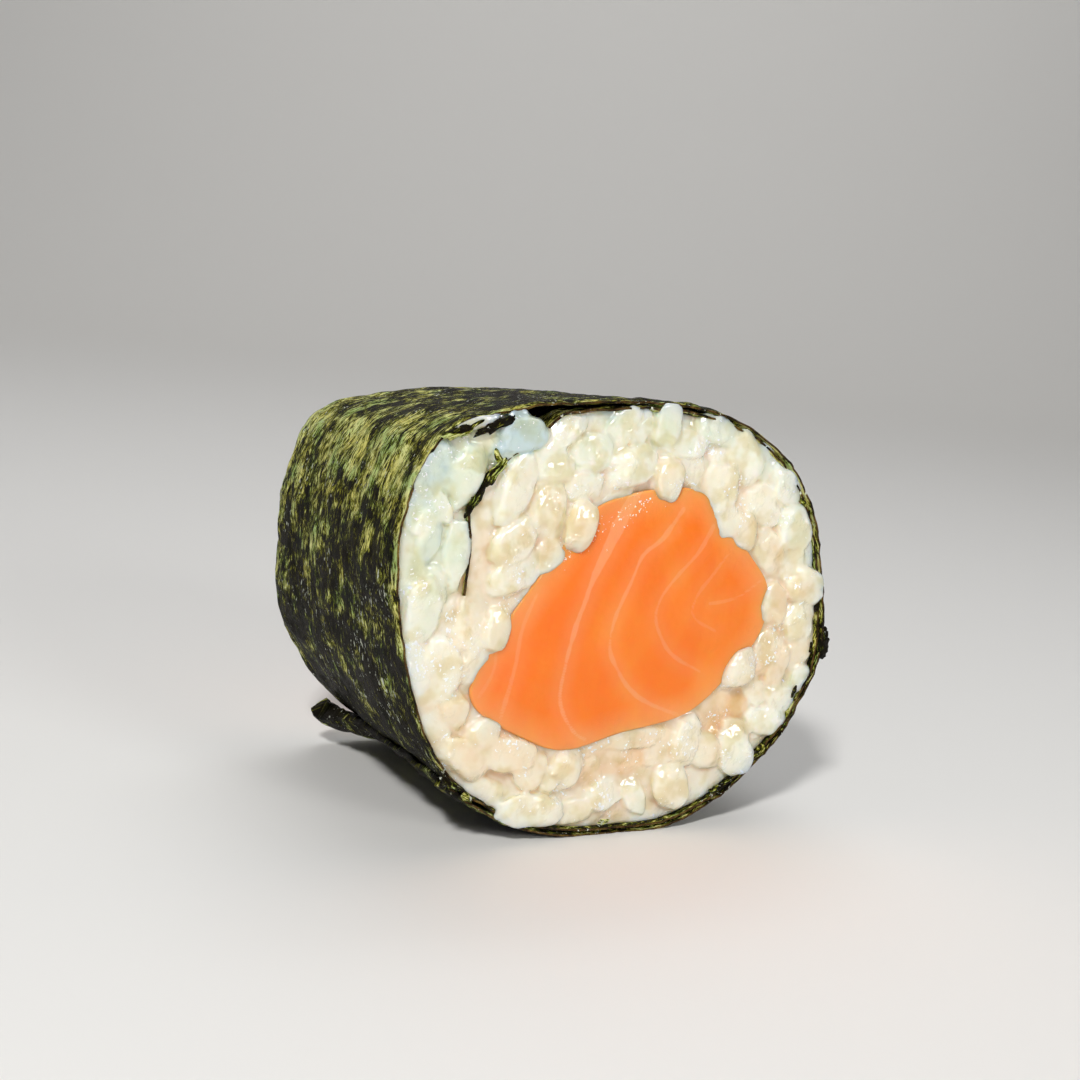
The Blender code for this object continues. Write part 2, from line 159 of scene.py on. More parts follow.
def nearest_on(outline, points):
    """For each point, how far it is from the closed outline and whether it is inside."""
    step = np.roll(outline, -1, axis=0) - outline
    apart = np.empty(len(points))
    inside = np.empty(len(points), bool)
    rise = np.where(step[:, 1] == 0, 1e-9, step[:, 1])
    for first in range(0, len(points), AT_ONCE):
        part = slice(first, first + AT_ONCE)
        some = points[part]
        away = some[:, None, :] - outline[None]
        share = np.clip((away * step).sum(-1) / (step**2).sum(-1), 0.0, 1.0)
        left = away - step[None] * share[..., None]
        apart[part] = np.sqrt((left**2).sum(-1).min(axis=1))
        x, z = some[:, :1], some[:, 1:]
        crosses = (outline[:, 1] > z) != (outline[:, 1] + step[:, 1] > z)
        met = x < outline[:, 0] + (z - outline[:, 1]) / rise * step[:, 0]
        inside[part] = (crosses & met).sum(axis=1) % 2 == 1
    return apart, inside


def held(starts, ends, outline):
    """For each pair of points, where the straight way from start to end first meets the outline,
    or the end."""
    run = ends - starts
    step = (np.roll(outline, -1, axis=0) - outline)[None]
    away = outline[None] - starts[:, None]
    cross = run[:, :1] * step[..., 1] - run[:, 1:] * step[..., 0]
    cross = np.where(np.abs(cross) < 1e-9, 1e-9, cross)
    along = (away[..., 0] * step[..., 1] - away[..., 1] * step[..., 0]) / cross
    across = (away[..., 0] * run[:, 1:] - away[..., 1] * run[:, :1]) / cross
    hit = (across >= 0) & (across <= 1) & (along > 0)
    return starts + run * np.where(hit, along, 1.0).min(axis=1, initial=1.0)[:, None]


# ------ nodes


def colour(code):
    """A colour's linear value from its sRGB hex code."""
    parts = [int(code[i : i + 2], 16) / 255 for i in (1, 3, 5)]
    return (*(p / 12.92 if p <= 0.04045 else ((p + 0.055) / 1.055) ** 2.4 for p in parts), 1.0)


def add(tree, kind, links=None, reads=0, stops=(), **settings):
    """Adds a node with its settings, a link or a value for each socket named, and a ramp's stops.
    Gives the output that is read. What isn't told stays at its default: Math and VectorMath add,
    a MapRange goes from 0 to 1, and a TexNoise has 2 steps of detail."""
    node = tree.nodes.new("ShaderNode" + kind)
    for name, value in settings.items():
        setattr(node, name, value)
    for name, value in (links or {}).items():
        if isinstance(value, bpy.types.NodeSocket):
            tree.links.new(value, node.inputs[name])
        else:
            node.inputs[name].default_value = value
    for k, (place, code) in enumerate(stops):
        marks = node.color_ramp.elements
        mark = marks[k] if k < len(marks) else marks.new(place)
        mark.position = place
        mark.color = colour(code)
    return node.outputs[reads] if len(node.outputs) else node


SOFT = {"interpolation_type": "SMOOTHSTEP"}
COLOURS = {"reads": 2, "data_type": "RGBA"}  # for a mix of colours
TIMES_ADD = {"operation": "MULTIPLY_ADD"}


def new_material(name, *attributes):
    """The material, what adds a node to it, and the outputs that give the place in millimetres and
    the attributes named."""
    material = bpy.data.materials.new(name)
    material.use_nodes = True
    material.node_tree.nodes.clear()
    node = partial(add, material.node_tree)
    if not attributes:
        return material, node
    place = node("TexCoord", reads="Object")
    place = node("Mapping", {"Vector": place, "Scale": (1 / MM,) * 3})
    read = (node("Attribute", reads="Fac", attribute_name=name) for name in attributes)
    return material, node, place, *read


# ------ meshes


def set_places(thing, places):
    thing.data.vertices.foreach_set("co", np.asarray(places, float).ravel())
    thing.data.update()


def get_places(thing):
    found = np.empty(len(thing.data.vertices) * 3)
    thing.data.vertices.foreach_get("co", found)
    return found.reshape(-1, 3)


def give(thing, name, values):
    made = thing.data.attributes.new(name, "FLOAT", "POINT")
    made.data.foreach_set("value", np.asarray(values, float))


def pick(*things):
    """Leaves these things alone selected, and the last of them active."""
    bpy.ops.object.select_all(action="DESELECT")
    for thing in things:
        thing.select_set(True)
        bpy.context.view_layer.objects.active = thing


def grid(name, columns, rows):
    """A primitive grid of so many vertices, in rows one after another."""
    pick()
    bpy.ops.mesh.primitive_grid_add(x_subdivisions=columns - 1, y_subdivisions=rows - 1, size=1)
    thing = bpy.context.object
    thing.name = name
    thing.data.name = name
    return thing


def points_of(primitive, **settings):
    """The points and the faces of a primitive of radius 1, which isn't kept."""
    pick()
    primitive(radius=1.0, **settings)
    thing = bpy.context.object
    found = get_places(thing), [tuple(face.vertices) for face in thing.data.polygons]
    bpy.data.objects.remove(thing, do_unlink=True)
    return found


def join(places, faces, more, corners):
    """Adds the points and faces of one more part to a mesh's."""
    first = len(places)
    places.extend(more)
    faces.extend(tuple(first + i for i in corner) for corner in corners)


def mesh_from(name, places, faces):
    mesh = bpy.data.meshes.new(name)
    mesh.from_pydata([tuple(p) for p in places], [], faces)
    thing = bpy.data.objects.new(name, mesh)
    bpy.context.collection.objects.link(thing)
    return thing


def apply(thing, kind, **settings):
    pick(thing)
    step = thing.modifiers.new(kind.lower(), kind)
    for name, value in settings.items():
        setattr(step, name, value)
    bpy.ops.object.modifier_apply(modifier=step.name)


def close_up(thing, distance=1e-8):
    """Merges doubles and points the faces outwards."""
    pick(thing)
    bpy.ops.object.mode_set(mode="EDIT")
    bpy.ops.mesh.select_all(action="SELECT")
    bpy.ops.mesh.remove_doubles(threshold=distance)
    bpy.ops.mesh.normals_make_consistent(inside=False)
    bpy.ops.object.mode_set(mode="OBJECT")


def finish(thing, material, node):
    """Smooth shading, its finish, and its place in the frame."""
    thing.data.shade_smooth()
    thing.data.materials.append(material)
    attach(thing, "root")
    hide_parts(node)


# ------ nori

NORI_STEP = 0.37  # between points round the sheet
NORI_ROWS = 66
CRINKLE = 0.16
NORI_THICKNESS = {"sheet": 0.38, "tongue": 0.2, "tip": 1.8, "edge": 0.14}
TIP_SHARE = (0.075, 0.02)  # the part of a turn at the outer tip over which it crumples thick
WORN_EDGE = 0.5  # over which the sheet thins to each cut edge
NEAR_RECESS = 0.3  # how far the near cut edge lies behind the rice
# Shreds at the near cut: x, z, depth, angle, length, width, thickness, and how much thinner and
# so greener than the sheet
SCRAPS = tuple((x, z, -HALF + deep, *rest) for x, z, deep, *rest in (
    (-15.6, 31.1, 0.15, 22, 3.6, 0.8, 0.6, 0.0), (-12.9, 31.6, 0.05, 22, 3.4, 0.7, 0.5, -0.3),
    (-13.9, 26.4, 0.35, 66, 3.0, 0.8, 0.5, -0.1), (-12.6, 28.2, 0.3, 50, 2.6, 0.8, 0.5, -0.1),
    (-12.5, 29.5, 0.2, 120, 1.2, 0.5, 0.4, 0.0),
    (-12.3, 4.0, 0.0, -30, 1.0, 0.5, 0.4, 0.6), (-0.2, 1.2, -0.1, 5, 1.1, 0.5, 0.4, 0.6),
    (15.7, 26.7, 0.35, -50, 0.8, 0.3, 0.6, 0.1), (18.4, 18.1, 0.3, -84, 1.0, 0.35, 0.6, 0.1),
    (18.3, 14.6, 0.3, 85, 0.9, 0.3, 0.6, 0.1), (17.2, 10.9, 0.35, 75, 1.1, 0.2, 0.5, 0.1),
    (14.5, 5.9, 0.35, 45, 1.4, 0.5, 0.6, 0.1), (10.6, 3.0, 0.3, 20, 1.8, 0.5, 0.6, 0.1),
    (-14.0, 5.2, 0.0, -30, 1.8, 0.6, 0.6, 0.1), (19.7, 14.6, 0.9, 82, 2.8, 1.5, 1.6, -0.2),
))  # fmt: skip


def sheet_line():
    """The middle of the sheet from its inner tip outwards at even steps, the turn that each point
    is at (below zero on the tongue), and the unit vectors to the inner side."""
    fine = 720
    ring = evenly(spline(OUTLINE, True), fine, True)
    inward = right_hand(ring, True)
    wound = []
    turns = []
    for k in range(round(TURNS * fine) + 1):
        turn = k / fine
        depth = SHEET / 2 + LAYER_PITCH * (1.0 - smooth_step(*UNDER_TAIL, turn))
        wound.append(ring[k % fine] + inward[k % fine] * depth)
        turns.append(turn)
    tongue = evenly(spline((*TONGUE, tuple(wound[0])), False), 120, False)[:-1]
    line = np.vstack([tongue, wound])
    turns = np.array([-1.0] * len(tongue) + turns)
    along = np.concatenate([[0.0], np.cumsum(norm(np.diff(line, axis=0), axis=1))])
    wanted = np.linspace(0.0, along[-1], round(along[-1] / NORI_STEP))
    line = np.stack([np.interp(wanted, along, line[:, k]) for k in (0, 1)], axis=1)
    return line, np.interp(wanted, along, turns), right_hand(line, False), wanted


def tail_lift(turn, y):
    off = smooth_step(0.55, 1.0, far_share(y))
    return TAIL_LIFT * off * smooth_step(TURNS - TAIL_SHARE, TURNS, turn)


def nori_thickness(turn, y):
    if turn < 0:
        return NORI_THICKNESS["tongue"]
    crumpled = smooth_step(*(TURNS - share for share in TIP_SHARE), turn)
    crumpled *= smooth_step(0.7, 1.0, far_share(y))
    thick = NORI_THICKNESS["sheet"] + (NORI_THICKNESS["tip"] - NORI_THICKNESS["sheet"]) * crumpled
    worn = smooth_step(HALF - WORN_EDGE, HALF, abs(y))
    return thick + (NORI_THICKNESS["edge"] - thick) * worn


def make_nori(material):
    line, turns, inward, along = sheet_line()
    rows = np.linspace(-1.0, 1.0, NORI_ROWS)
    rows = np.sign(rows) * (1 - (1 - np.abs(rows)) ** 1.25) * HALF
    sheet = grid("nori_sheet", len(line), len(rows))
    places = []
    for y in rows:
        edge = smooth_step(0.86, 1.0, abs(y) / HALF)
        back = NEAR_RECESS * edge * (y < 0)
        for (x, z), turn, (in_x, in_z), far in zip(line, turns, inward, along):
            spot = Vector((far, y, 3.0))
            # Crinkles, none where it lies on the floor and three times as deep at its tip
            bump = noise.noise(spot / 2.6) * 0.8 + noise.noise(spot * Vector((0.7, 1.2, 1.0))) * 1.1
            bump *= CRINKLE * smooth_step(0.0, 3.0, z)
            bump *= 1.0 + 2.0 * smooth_step(TURNS - 0.03, TURNS, turn)
            move = bump - tail_lift(turn, y)
            torn = 0.4 * noise.noise(spot / 3.0) + 0.4 * noise.noise(spot * 1.7)
            shift = back + EDGE_RAGGED * torn * edge
            places.append(placed(x + in_x * move, z + in_z * move, y + shift))
    set_places(sheet, places)
    give(sheet, "sheet_around", np.tile(along, len(rows)))
    give(sheet, "sheet_along", np.repeat(rows, len(line)))
    give(sheet, "thinness", np.tile(0.1 * (turns > TURNS - TIP_SHARE[0]), len(rows)))
    most = NORI_THICKNESS["tip"]
    thick = sheet.vertex_groups.new(name="thickness")
    for i in range(len(places)):
        here = nori_thickness(turns[i % len(line)], rows[i // len(line)])
        thick.add([i], here / most, "REPLACE")
    wall = {"thickness": most * MM, "offset": 0.0, "use_even_offset": False}
    apply(sheet, "SOLIDIFY", vertex_group="thickness", **wall)
    close_up(sheet, 1e-7)
    finish(sheet, material, "nori_wrap")


def make_scraps(material):
    """Shreds of laver that lie on the rice: crumpled discs, each with its own long way."""
    places, faces, around, along, thinness = [], [], [], [], []
    unit, corners = points_of(bpy.ops.mesh.primitive_ico_sphere_add, subdivisions=4)
    for k, (x, z, y, angle, length, width, thick, thin) in enumerate(SCRAPS):
        turn = radians(angle)
        shred = []
        for a, b, c in unit:
            spot = Vector((a * length, b * width, k * 5.0))
            ragged = 1.0 + 0.5 * noise.noise(spot * 0.8) + 0.35 * noise.noise(spot * 2.1)
            a, b = a * length / 2 * ragged, b * width / 2 * ragged
            lift = c * thick / 2 + 0.14 * noise.noise(spot * 1.3)
            out = Matrix.Rotation(turn, 2) @ Vector((a, b)) + Vector((x, z))
            shred.append(placed(*out, y + lift))
            around.append(a + k * 11.0)
            along.append(b)
            thinness.append(thin)
        join(places, faces, shred, corners)
    scraps = mesh_from("nori_scraps", places, faces)
    give(scraps, "sheet_around", around)
    give(scraps, "sheet_along", along)
    give(scraps, "thinness", thinness)
    close_up(scraps)
    finish(scraps, material, "nori_wrap")


def nori_finish():
    """Roasted laver, pressed from shreds and now damp: near black, with the yellow-green of thin
    shreds showing in streaks that run round the roll, and pinpricks of wet shine painted in as
    highlights."""
    known = "sheet_around", "sheet_along", "thinness"
    material, node, place, around, along, thinness = new_material("roasted_laver_damp", *known)
    sheet = node("CombineXYZ", {0: around, 1: along})
    # Shreds lie along the sheet, and drift a little to each side
    drift = node("TexNoise", {"Vector": sheet, "Scale": 0.3}, reads="Color")
    drift = node("VectorMath", {0: drift, 1: (0.5, 0.5, 0.5)}, operation="SUBTRACT")
    drift = node("VectorMath", {0: drift, "Scale": 1.6}, reads="Vector", operation="SCALE")
    bent = node("VectorMath", {0: sheet, 1: drift})
    shreds = {"Vector": bent, "Rotation": (0.0, 0.0, -0.16), "Scale": (0.6, 1.9, 1.0)}
    shreds = node("Mapping", shreds)
    shreds = node("TexNoise", {"Vector": shreds, "Scale": 1.0, "Detail": 5.0, "Roughness": 0.7})
    hairs = node("Mapping", {"Vector": bent, "Rotation": (0.0, 0.0, 0.3), "Scale": (1.6, 8.0, 1.0)})
    hairs = node("TexNoise", {"Vector": hairs, "Scale": 1.0, "Detail": 3.0, "Roughness": 0.7})
    crumbs = node("TexNoise", {"Vector": place, "Scale": 0.8, "Detail": 4.0, "Roughness": 0.7})
    # Where the sheet is thin, in patches of 2 to 5 mm, the shreds are green instead of black
    patch = node("Mapping", {"Vector": bent, "Scale": (0.22, 0.3, 1.0)})
    patch = node("TexNoise", {"Vector": patch, "Scale": 1.0, "Detail": 3.0, "Roughness": 0.6})
    # Painted light: higher up the sides, towards the shoulder where the key light falls, the shreds
    # are painted greener, and low down by the floor darker
    height = node("SeparateXYZ", {0: place}, reads="Z")
    height = node("MapRange", {0: height, 2: 34.0})
    stops = (0.1, "#101010"), (0.45, "#747474"), (0.65, "#a0a0a0"), (0.86, "#e0e0e0")
    height = node("ValToRGB", {0: height}, stops=(*stops, (0.96, "#747474")))
    for part, weight in (patch, 1.6), (height, 0.6), (crumbs, 1.1):
        thinness = node("Math", {0: part, 1: weight, 2: thinness}, **TIMES_ADD)
    thin = node("MapRange", {0: thinness, 1: 1.32, 2: 1.84, 3: -0.22, 4: 0.17})
    # and also at the cut edges, which are worn thin: a painted glow there of the light that comes
    # through the rice
    edge = node("Math", {0: along}, operation="ABSOLUTE")
    worn = node("MapRange", {0: edge, 1: HALF - 1.2, 2: HALF, 4: 0.2})
    thin = node("Math", {0: thin, 1: worn})
    shown = node("Math", {0: hairs, 1: 1.35, 2: shreds}, **TIMES_ADD)
    shown = node("Math", {0: shown, 1: thin})
    lit = node("MapRange", {0: shown, 1: 1.11, 2: 1.47})
    stops = (0.0, "#181307"), (0.12, "#302c0c"), (0.3, "#565912"), (0.54, "#a8ac32")
    tone = node("ValToRGB", {0: lit}, stops=(*stops, (0.8, "#fafaaa")))
    cold = node("TexNoise", {"Vector": bent, "Scale": 0.4})
    stops = (0.36, "#fbea98"), (0.52, "#ffffff"), (0.66, "#aedcc0")
    cold = node("ValToRGB", {0: cold}, stops=stops)
    tone = node("Mix", {0: 0.6, 6: tone, 7: cold}, **COLOURS, blend_type="MULTIPLY")
    # The cut edges have a brown rim that light comes through
    edge = node("MapRange", {0: edge, 1: HALF - 0.1, 2: HALF - 0.02})
    stops = (0.4, "#1c140a"), (0.55, "#5a4220"), (0.7, "#8a7436")
    rim = node("ValToRGB", {0: crumbs}, stops=stops)
    tone = node("Mix", {0: edge, 6: tone, 7: rim}, **COLOURS)
    # Painted highlights: the wet shine is painted in as pale upright pricks, thickest in patches of
    # 3 to 6 mm
    shine = node("TexNoise", {"Vector": place, "Scale": 0.25})
    painted_glint = node("Mapping", {"Vector": place, "Scale": (3.4, 3.4, 1.3)})
    painted_glint = node("TexNoise", {"Vector": painted_glint, "Scale": 1.0, "Roughness": 0.6})
    painted_glint = node("Math", {0: shine, 1: 0.4, 2: painted_glint}, **TIMES_ADD)
    painted_glint = node("MapRange", {0: painted_glint, 1: 0.88, 2: 0.93}, **SOFT)
    tone = node("Mix", {0: painted_glint, 6: tone, 7: colour("#e8ecd8")}, **COLOURS)
    rise = node("Math", {0: shreds, 1: 1.2, 2: hairs}, **TIMES_ADD)
    rise = node("Math", {0: crumbs, 1: 1.5, 2: rise}, **TIMES_ADD)
    bump = node("Bump", {"Height": rise, "Distance": 0.45 * MM})
    skin = {"Base Color": tone, "Normal": bump, "Roughness": 0.5, "Specular IOR Level": 0.03}
    skin |= {"IOR": 1.4, "Coat Weight": 0.2, "Coat Roughness": 0.12, "Coat Normal": bump}
    node("OutputMaterial", {"Surface": node("BsdfPrincipled", skin)})
    return material


# ------ salmon

FISH_AROUND = 260
FISH_RINGS = 56
FISH_SIDE_ROWS = 26
FISH_RIM = 0.2
FISH_RECESS = 0.42
FISH_CROWN = 0.2
FISH_RIM_ROWS = 6
FISH_DENTS = (0.14, 4.5)  # height and width of the waves of the cut
WET_EDGE, WET_WIDTH = ((-6.4, 22.2), (0.8, 26.4)), 1.5  # where the cut is wettest
# Lines of fat on the cut: each has a strength, and points of x, z and half its width
FAT_LINES = (
    (0.45, ((-8.0, 19.2, 0.1), (-8.9, 16.8, 0.1), (-9.2, 14.0, 0.1), (-9.7, 11.4, 0.1),
        (-10.1, 9.4, 0.1))),
    (0.65, ((-0.2, 27.2, 0.4), (-1.5, 24.6, 0.45), (-2.5, 22.4, 0.35), (-3.5, 19.9, 0.14),
        (-4.6, 16.0, 0.1), (-5.1, 12.6, 0.08), (-4.9, 10.6, 0.08), (-3.6, 8.6, 0.1),
        (-2.4, 7.8, 0.1))),
    (0.55, ((4.2, 25.9, 0.12), (2.6, 23.7, 0.12), (0.9, 22.3, 0.1), (0.1, 20.3, 0.09),
        (-1.0, 17.4, 0.07), (-1.2, 15.0, 0.07), (-0.2, 13.2, 0.08), (1.2, 11.6, 0.08),
        (3.2, 10.4, 0.08), (6.6, 9.2, 0.06))),
    (0.45, ((7.2, 24.6, 0.12), (5.9, 22.4, 0.1), (4.3, 20.7, 0.08), (3.0, 18.9, 0.06),
        (2.7, 17.2, 0.06), (3.9, 15.1, 0.07), (5.2, 14.0, 0.07), (7.6, 12.9, 0.05))),
    (0.3, ((9.2, 22.7, 0.08), (7.9, 21.0, 0.08), (6.3, 19.0, 0.07), (6.2, 17.4, 0.06),
        (8.5, 16.2, 0.05))),
    (0.35, ((7.6, 18.4, 0.05), (10.4, 18.9, 0.06), (12.6, 20.3, 0.06))),
    (0.35, ((-10.9, 15.2, 0.05), (-11.0, 13.4, 0.06), (-12.1, 11.4, 0.06))),
)  # fmt: skip


def fish_outline(grown=0.0):
    line = evenly(spline(FISH, True), FISH_AROUND, True)
    return line - right_hand(line, True) * grown


def fat_apart(points):
    """For each point, how far it is outside the nearest line of fat, and that line's strength."""
    least = np.full(len(points), 50.0)
    strength = np.zeros(len(points))
    for weight, line in FAT_LINES:
        knots = np.array(line)
        fine = spline([tuple(k) for k in knots[:, :2]], False, 6)
        widths = np.interp(np.linspace(0, 1, len(fine)), np.linspace(0, 1, len(knots)), knots[:, 2])
        for (a, b), width in zip(zip(fine[:-1], fine[1:]), widths):
            run = b - a
            share = np.clip(((points - a) @ run) / (run @ run), 0.0, 1.0)
            apart = norm(points - a - share[:, None] * run, axis=1) - width
            nearer = apart < least
            least[nearer] = apart[nearer]
            strength[nearer] = weight
    return least, strength


def make_salmon(material):
    """One grid that runs from the middle of the near face over its rim and along the side to the
    middle of the far face, closed round the stick."""
    outline = fish_outline()
    heart = outline.mean(axis=0)
    half = HALF - FISH_RECESS
    rows = []
    for r in range(FISH_RINGS):
        share = r / FISH_RINGS
        crown = FISH_CROWN * (1.0 - smooth_step(0.45, 1.0, share))
        rows.append((share * 0.985, 0.0, -half - crown))
    for k in range(FISH_RIM_ROWS + 1):
        turn = k / FISH_RIM_ROWS * pi / 2
        rows.append((1.0, FISH_RIM * (1 - sin(turn)), -half + FISH_RIM * (1 - cos(turn))))
    for y in np.linspace(-half + FISH_RIM, half - FISH_RIM, FISH_SIDE_ROWS)[1:-1]:
        rows.append((1.0, 0.0, y))
    rows += [(share, inset, -y) for share, inset, y in rows[: FISH_RINGS + FISH_RIM_ROWS + 1][::-1]]
    stick = grid("salmon_stick", FISH_AROUND + 1, len(rows))
    inward = right_hand(outline, True)
    places, flat = [], []
    for share, inset, y in rows:
        ring = heart + (outline + inward * max(inset, FISH_RIM * (share < 1.0)) - heart) * share
        for i in range(FISH_AROUND + 1):
            x, z = ring[i % FISH_AROUND]
            dent = FISH_DENTS[0] * noise.noise(Vector((x, z, y)) / FISH_DENTS[1])
            places.append(placed(x, z, y + dent * (1.0 - share**6)))
            flat.append((x, z))
    set_places(stick, places)
    flat = np.array(flat)
    apart, strength = fat_apart(flat)
    give(stick, "fat_apart", apart)
    give(stick, "fat_strength", strength)
    give(stick, "from_edge", nearest_on(outline, flat)[0])
    start, run = np.array(WET_EDGE[0]), np.array(WET_EDGE[1]) - np.array(WET_EDGE[0])
    share = np.clip((flat - start) @ run / (run @ run), 0.0, 1.0)
    off = norm(flat - start - share[:, None] * run, axis=1)
    give(stick, "wetness", np.exp(-((off / WET_WIDTH) ** 2)))
    close_up(stick, 1e-6)
    finish(stick, material, "salmon")


def salmon_finish():
    """Raw salmon, sliced wet: a clear orange flesh that light goes into, with soft paler lines of
    fat between its muscle layers and a paler rim."""
    known = "fat_apart", "fat_strength", "from_edge", "wetness"
    material, node, place, apart, strength, rim, wetness = new_material("raw_salmon", *known)
    wander = node("TexNoise", {"Vector": place, "Scale": 0.8})
    moved = node("Math", {0: wander, 1: 0.3, 2: -0.15}, **TIMES_ADD)
    apart = node("Math", {0: apart, 1: moved})
    line = node("MapRange", {0: apart, 2: 0.16, 3: 1.0, 4: 0.0}, **SOFT)
    glow = node("MapRange", {0: apart, 2: 1.4, 3: 0.3, 4: 0.0}, **SOFT)
    line = node("Math", {0: line, 1: glow}, operation="MAXIMUM")
    for share in strength, 0.75:
        line = node("Math", {0: line, 1: share}, operation="MULTIPLY")
    # The muscle has a faint grain
    flakes = node("Mapping", {"Vector": place, "Scale": (0.22, 0.1, 0.12)})
    flakes = node("TexNoise", {"Vector": flakes, "Scale": 1.0, "Detail": 4.0, "Roughness": 0.55})
    side = node("SeparateXYZ", {0: place}, reads="X")
    flakes = node("Math", {0: side, 1: 0.008, 2: flakes}, **TIMES_ADD)
    stops = (0.3, "#f67717"), (0.5, "#f87e1b"), (0.72, "#fb8c28")
    flesh = node("ValToRGB", {0: flakes}, stops=stops)
    fat = node("Mix", {0: line, 6: flesh, 7: colour("#ffb888")}, **COLOURS)
    pale = node("MapRange", {0: rim, 2: 2.4, 3: 0.5, 4: 0.0})
    whole = node("Mix", {0: pale, 6: fat, 7: colour("#fdb070")}, **COLOURS)
    # Wet shine: painted highlight specks half a millimetre apart, in places, which also bump the
    # coat
    where = node("TexNoise", {"Vector": place, "Scale": 0.5})
    where = node("MapRange", {0: where, 1: 0.6, 2: 0.72, 4: 0.3}, **SOFT)
    where = node("Math", {0: wetness, 1: where})
    specks = node("TexNoise", {"Vector": place, "Scale": 4.4, "Roughness": 0.6})
    painted_glint = node("Math", {0: where, 1: 0.22, 2: specks}, **TIMES_ADD)
    painted_glint = node("MapRange", {0: painted_glint, 1: 0.84, 2: 0.87}, **SOFT)
    whole = node("Mix", {0: painted_glint, 6: whole, 7: colour("#fff4e8")}, **COLOURS)
    specks = node("Math", {0: specks, 1: where}, operation="MULTIPLY")
    bump = node("Bump", {"Height": wander, "Distance": 0.06 * MM})
    film = node("Bump", {"Height": specks, "Distance": 0.5 * MM, "Normal": bump})
    skin = {"Base Color": whole, "Normal": bump, "Roughness": 0.4, "IOR": 1.4}
    skin |= {"Specular IOR Level": 0.1, "Subsurface Weight": 0.9}
    skin |= {"Subsurface Radius": (1.0, 0.32, 0.12), "Subsurface Scale": 1.0 * MM}
    skin |= {"Coat Weight": 0.6, "Coat Roughness": 0.08, "Coat Normal": film}
    node("OutputMaterial", {"Surface": node("BsdfPrincipled", skin)})
    return material


# ------ rice

GRAIN_LENGTH = (4.6, 6.4)
GRAIN_WIDTH = (2.2, 2.8)
GRAIN_TILTS = (12.0, 25.0, 55.0)  # degrees out of the cut's plane
LISTED_TILT, TURN_SPREAD = 8.0, 50.0  # degrees, for listed grains and about the way round
FILL_DEPTHS = {"near": (0.25, 0.6), "far": (-0.3, 0.45)}
GRAINS_A_FACE = 150
CELL = 0.4
TRIES = 160
OVERLAP_WEIGHT = 0.35
WALL_WEIGHT = 1.5
CORE_RECESS = 0.74
CORE_UNDER_FISH = 0.35  # how far the core reaches into the salmon, so that no gap shows
SECTION_POINTS = 240  # round the core
RICE_OFF = 0.1  # from the middle of the sheet, and from the salmon
RIM_IN = 0.12  # from the wrap's outside, where a grain lies over its edge
FRONT_SHARE = 0.8  # how much of the depths listed below the grains' fronts keep
GRAIN_FLATNESS = 0.7  # thickness of a grain at the cut beside its width
GRAIN_SPREAD = 1.15  # how much the grains are pressed out into each other
GRAIN_BOX = 3.0  # how square a grain is across
GRAIN_KNOBS = ((0.22, 1.1), (0.1, 2.4))  # height, beside half a width, and closeness of its knobs
LUMPS = ((0.06, 1.3), (0.12, 0.45))  # height in mm and number per mm of the lumps on the rice
PROUD, PROUD_LEFT = 0.45, 0.25  # beyond this far in front of the cut only this share is left
HEARTS_OFF = 0.96  # how near to the sheet a grain's middle line comes, as a share of the way
HELD_DEPTHS = (0.25, 0.75)  # over which the sheet comes to hold the grains in
WEDGE_END = 0.955
SEEDS = {"near": 5, "far": 11, "kinds": 3}
VOXELS = {"near": 0.12, "far": 0.15}
FACES_AT_MOST = 190_000
SLAB = 2.6  # thickness of the core behind the grains of one face
BROKEN = 16  # broken bits of grain at each cut
BROKEN_LENGTH, BROKEN_WIDTH, BROKEN_DEPTH = (1.6, 3.0), (1.0, 1.7), (-0.05, 0.3)
GRAIN_KINDS = 14
HUE_A_MM, HUE_FAR = 0.07, 0.65  # the hue's rise with distance from the salmon, and its most
HUE_BLURS = 8  # how often each point's hue is evened with its neighbours'
KNIFE_DEPTH = (0.12, 0.4)  # how much of a grain's front is cut off
KNIFE_TILT = 0.13  # and the slope of that cut at most
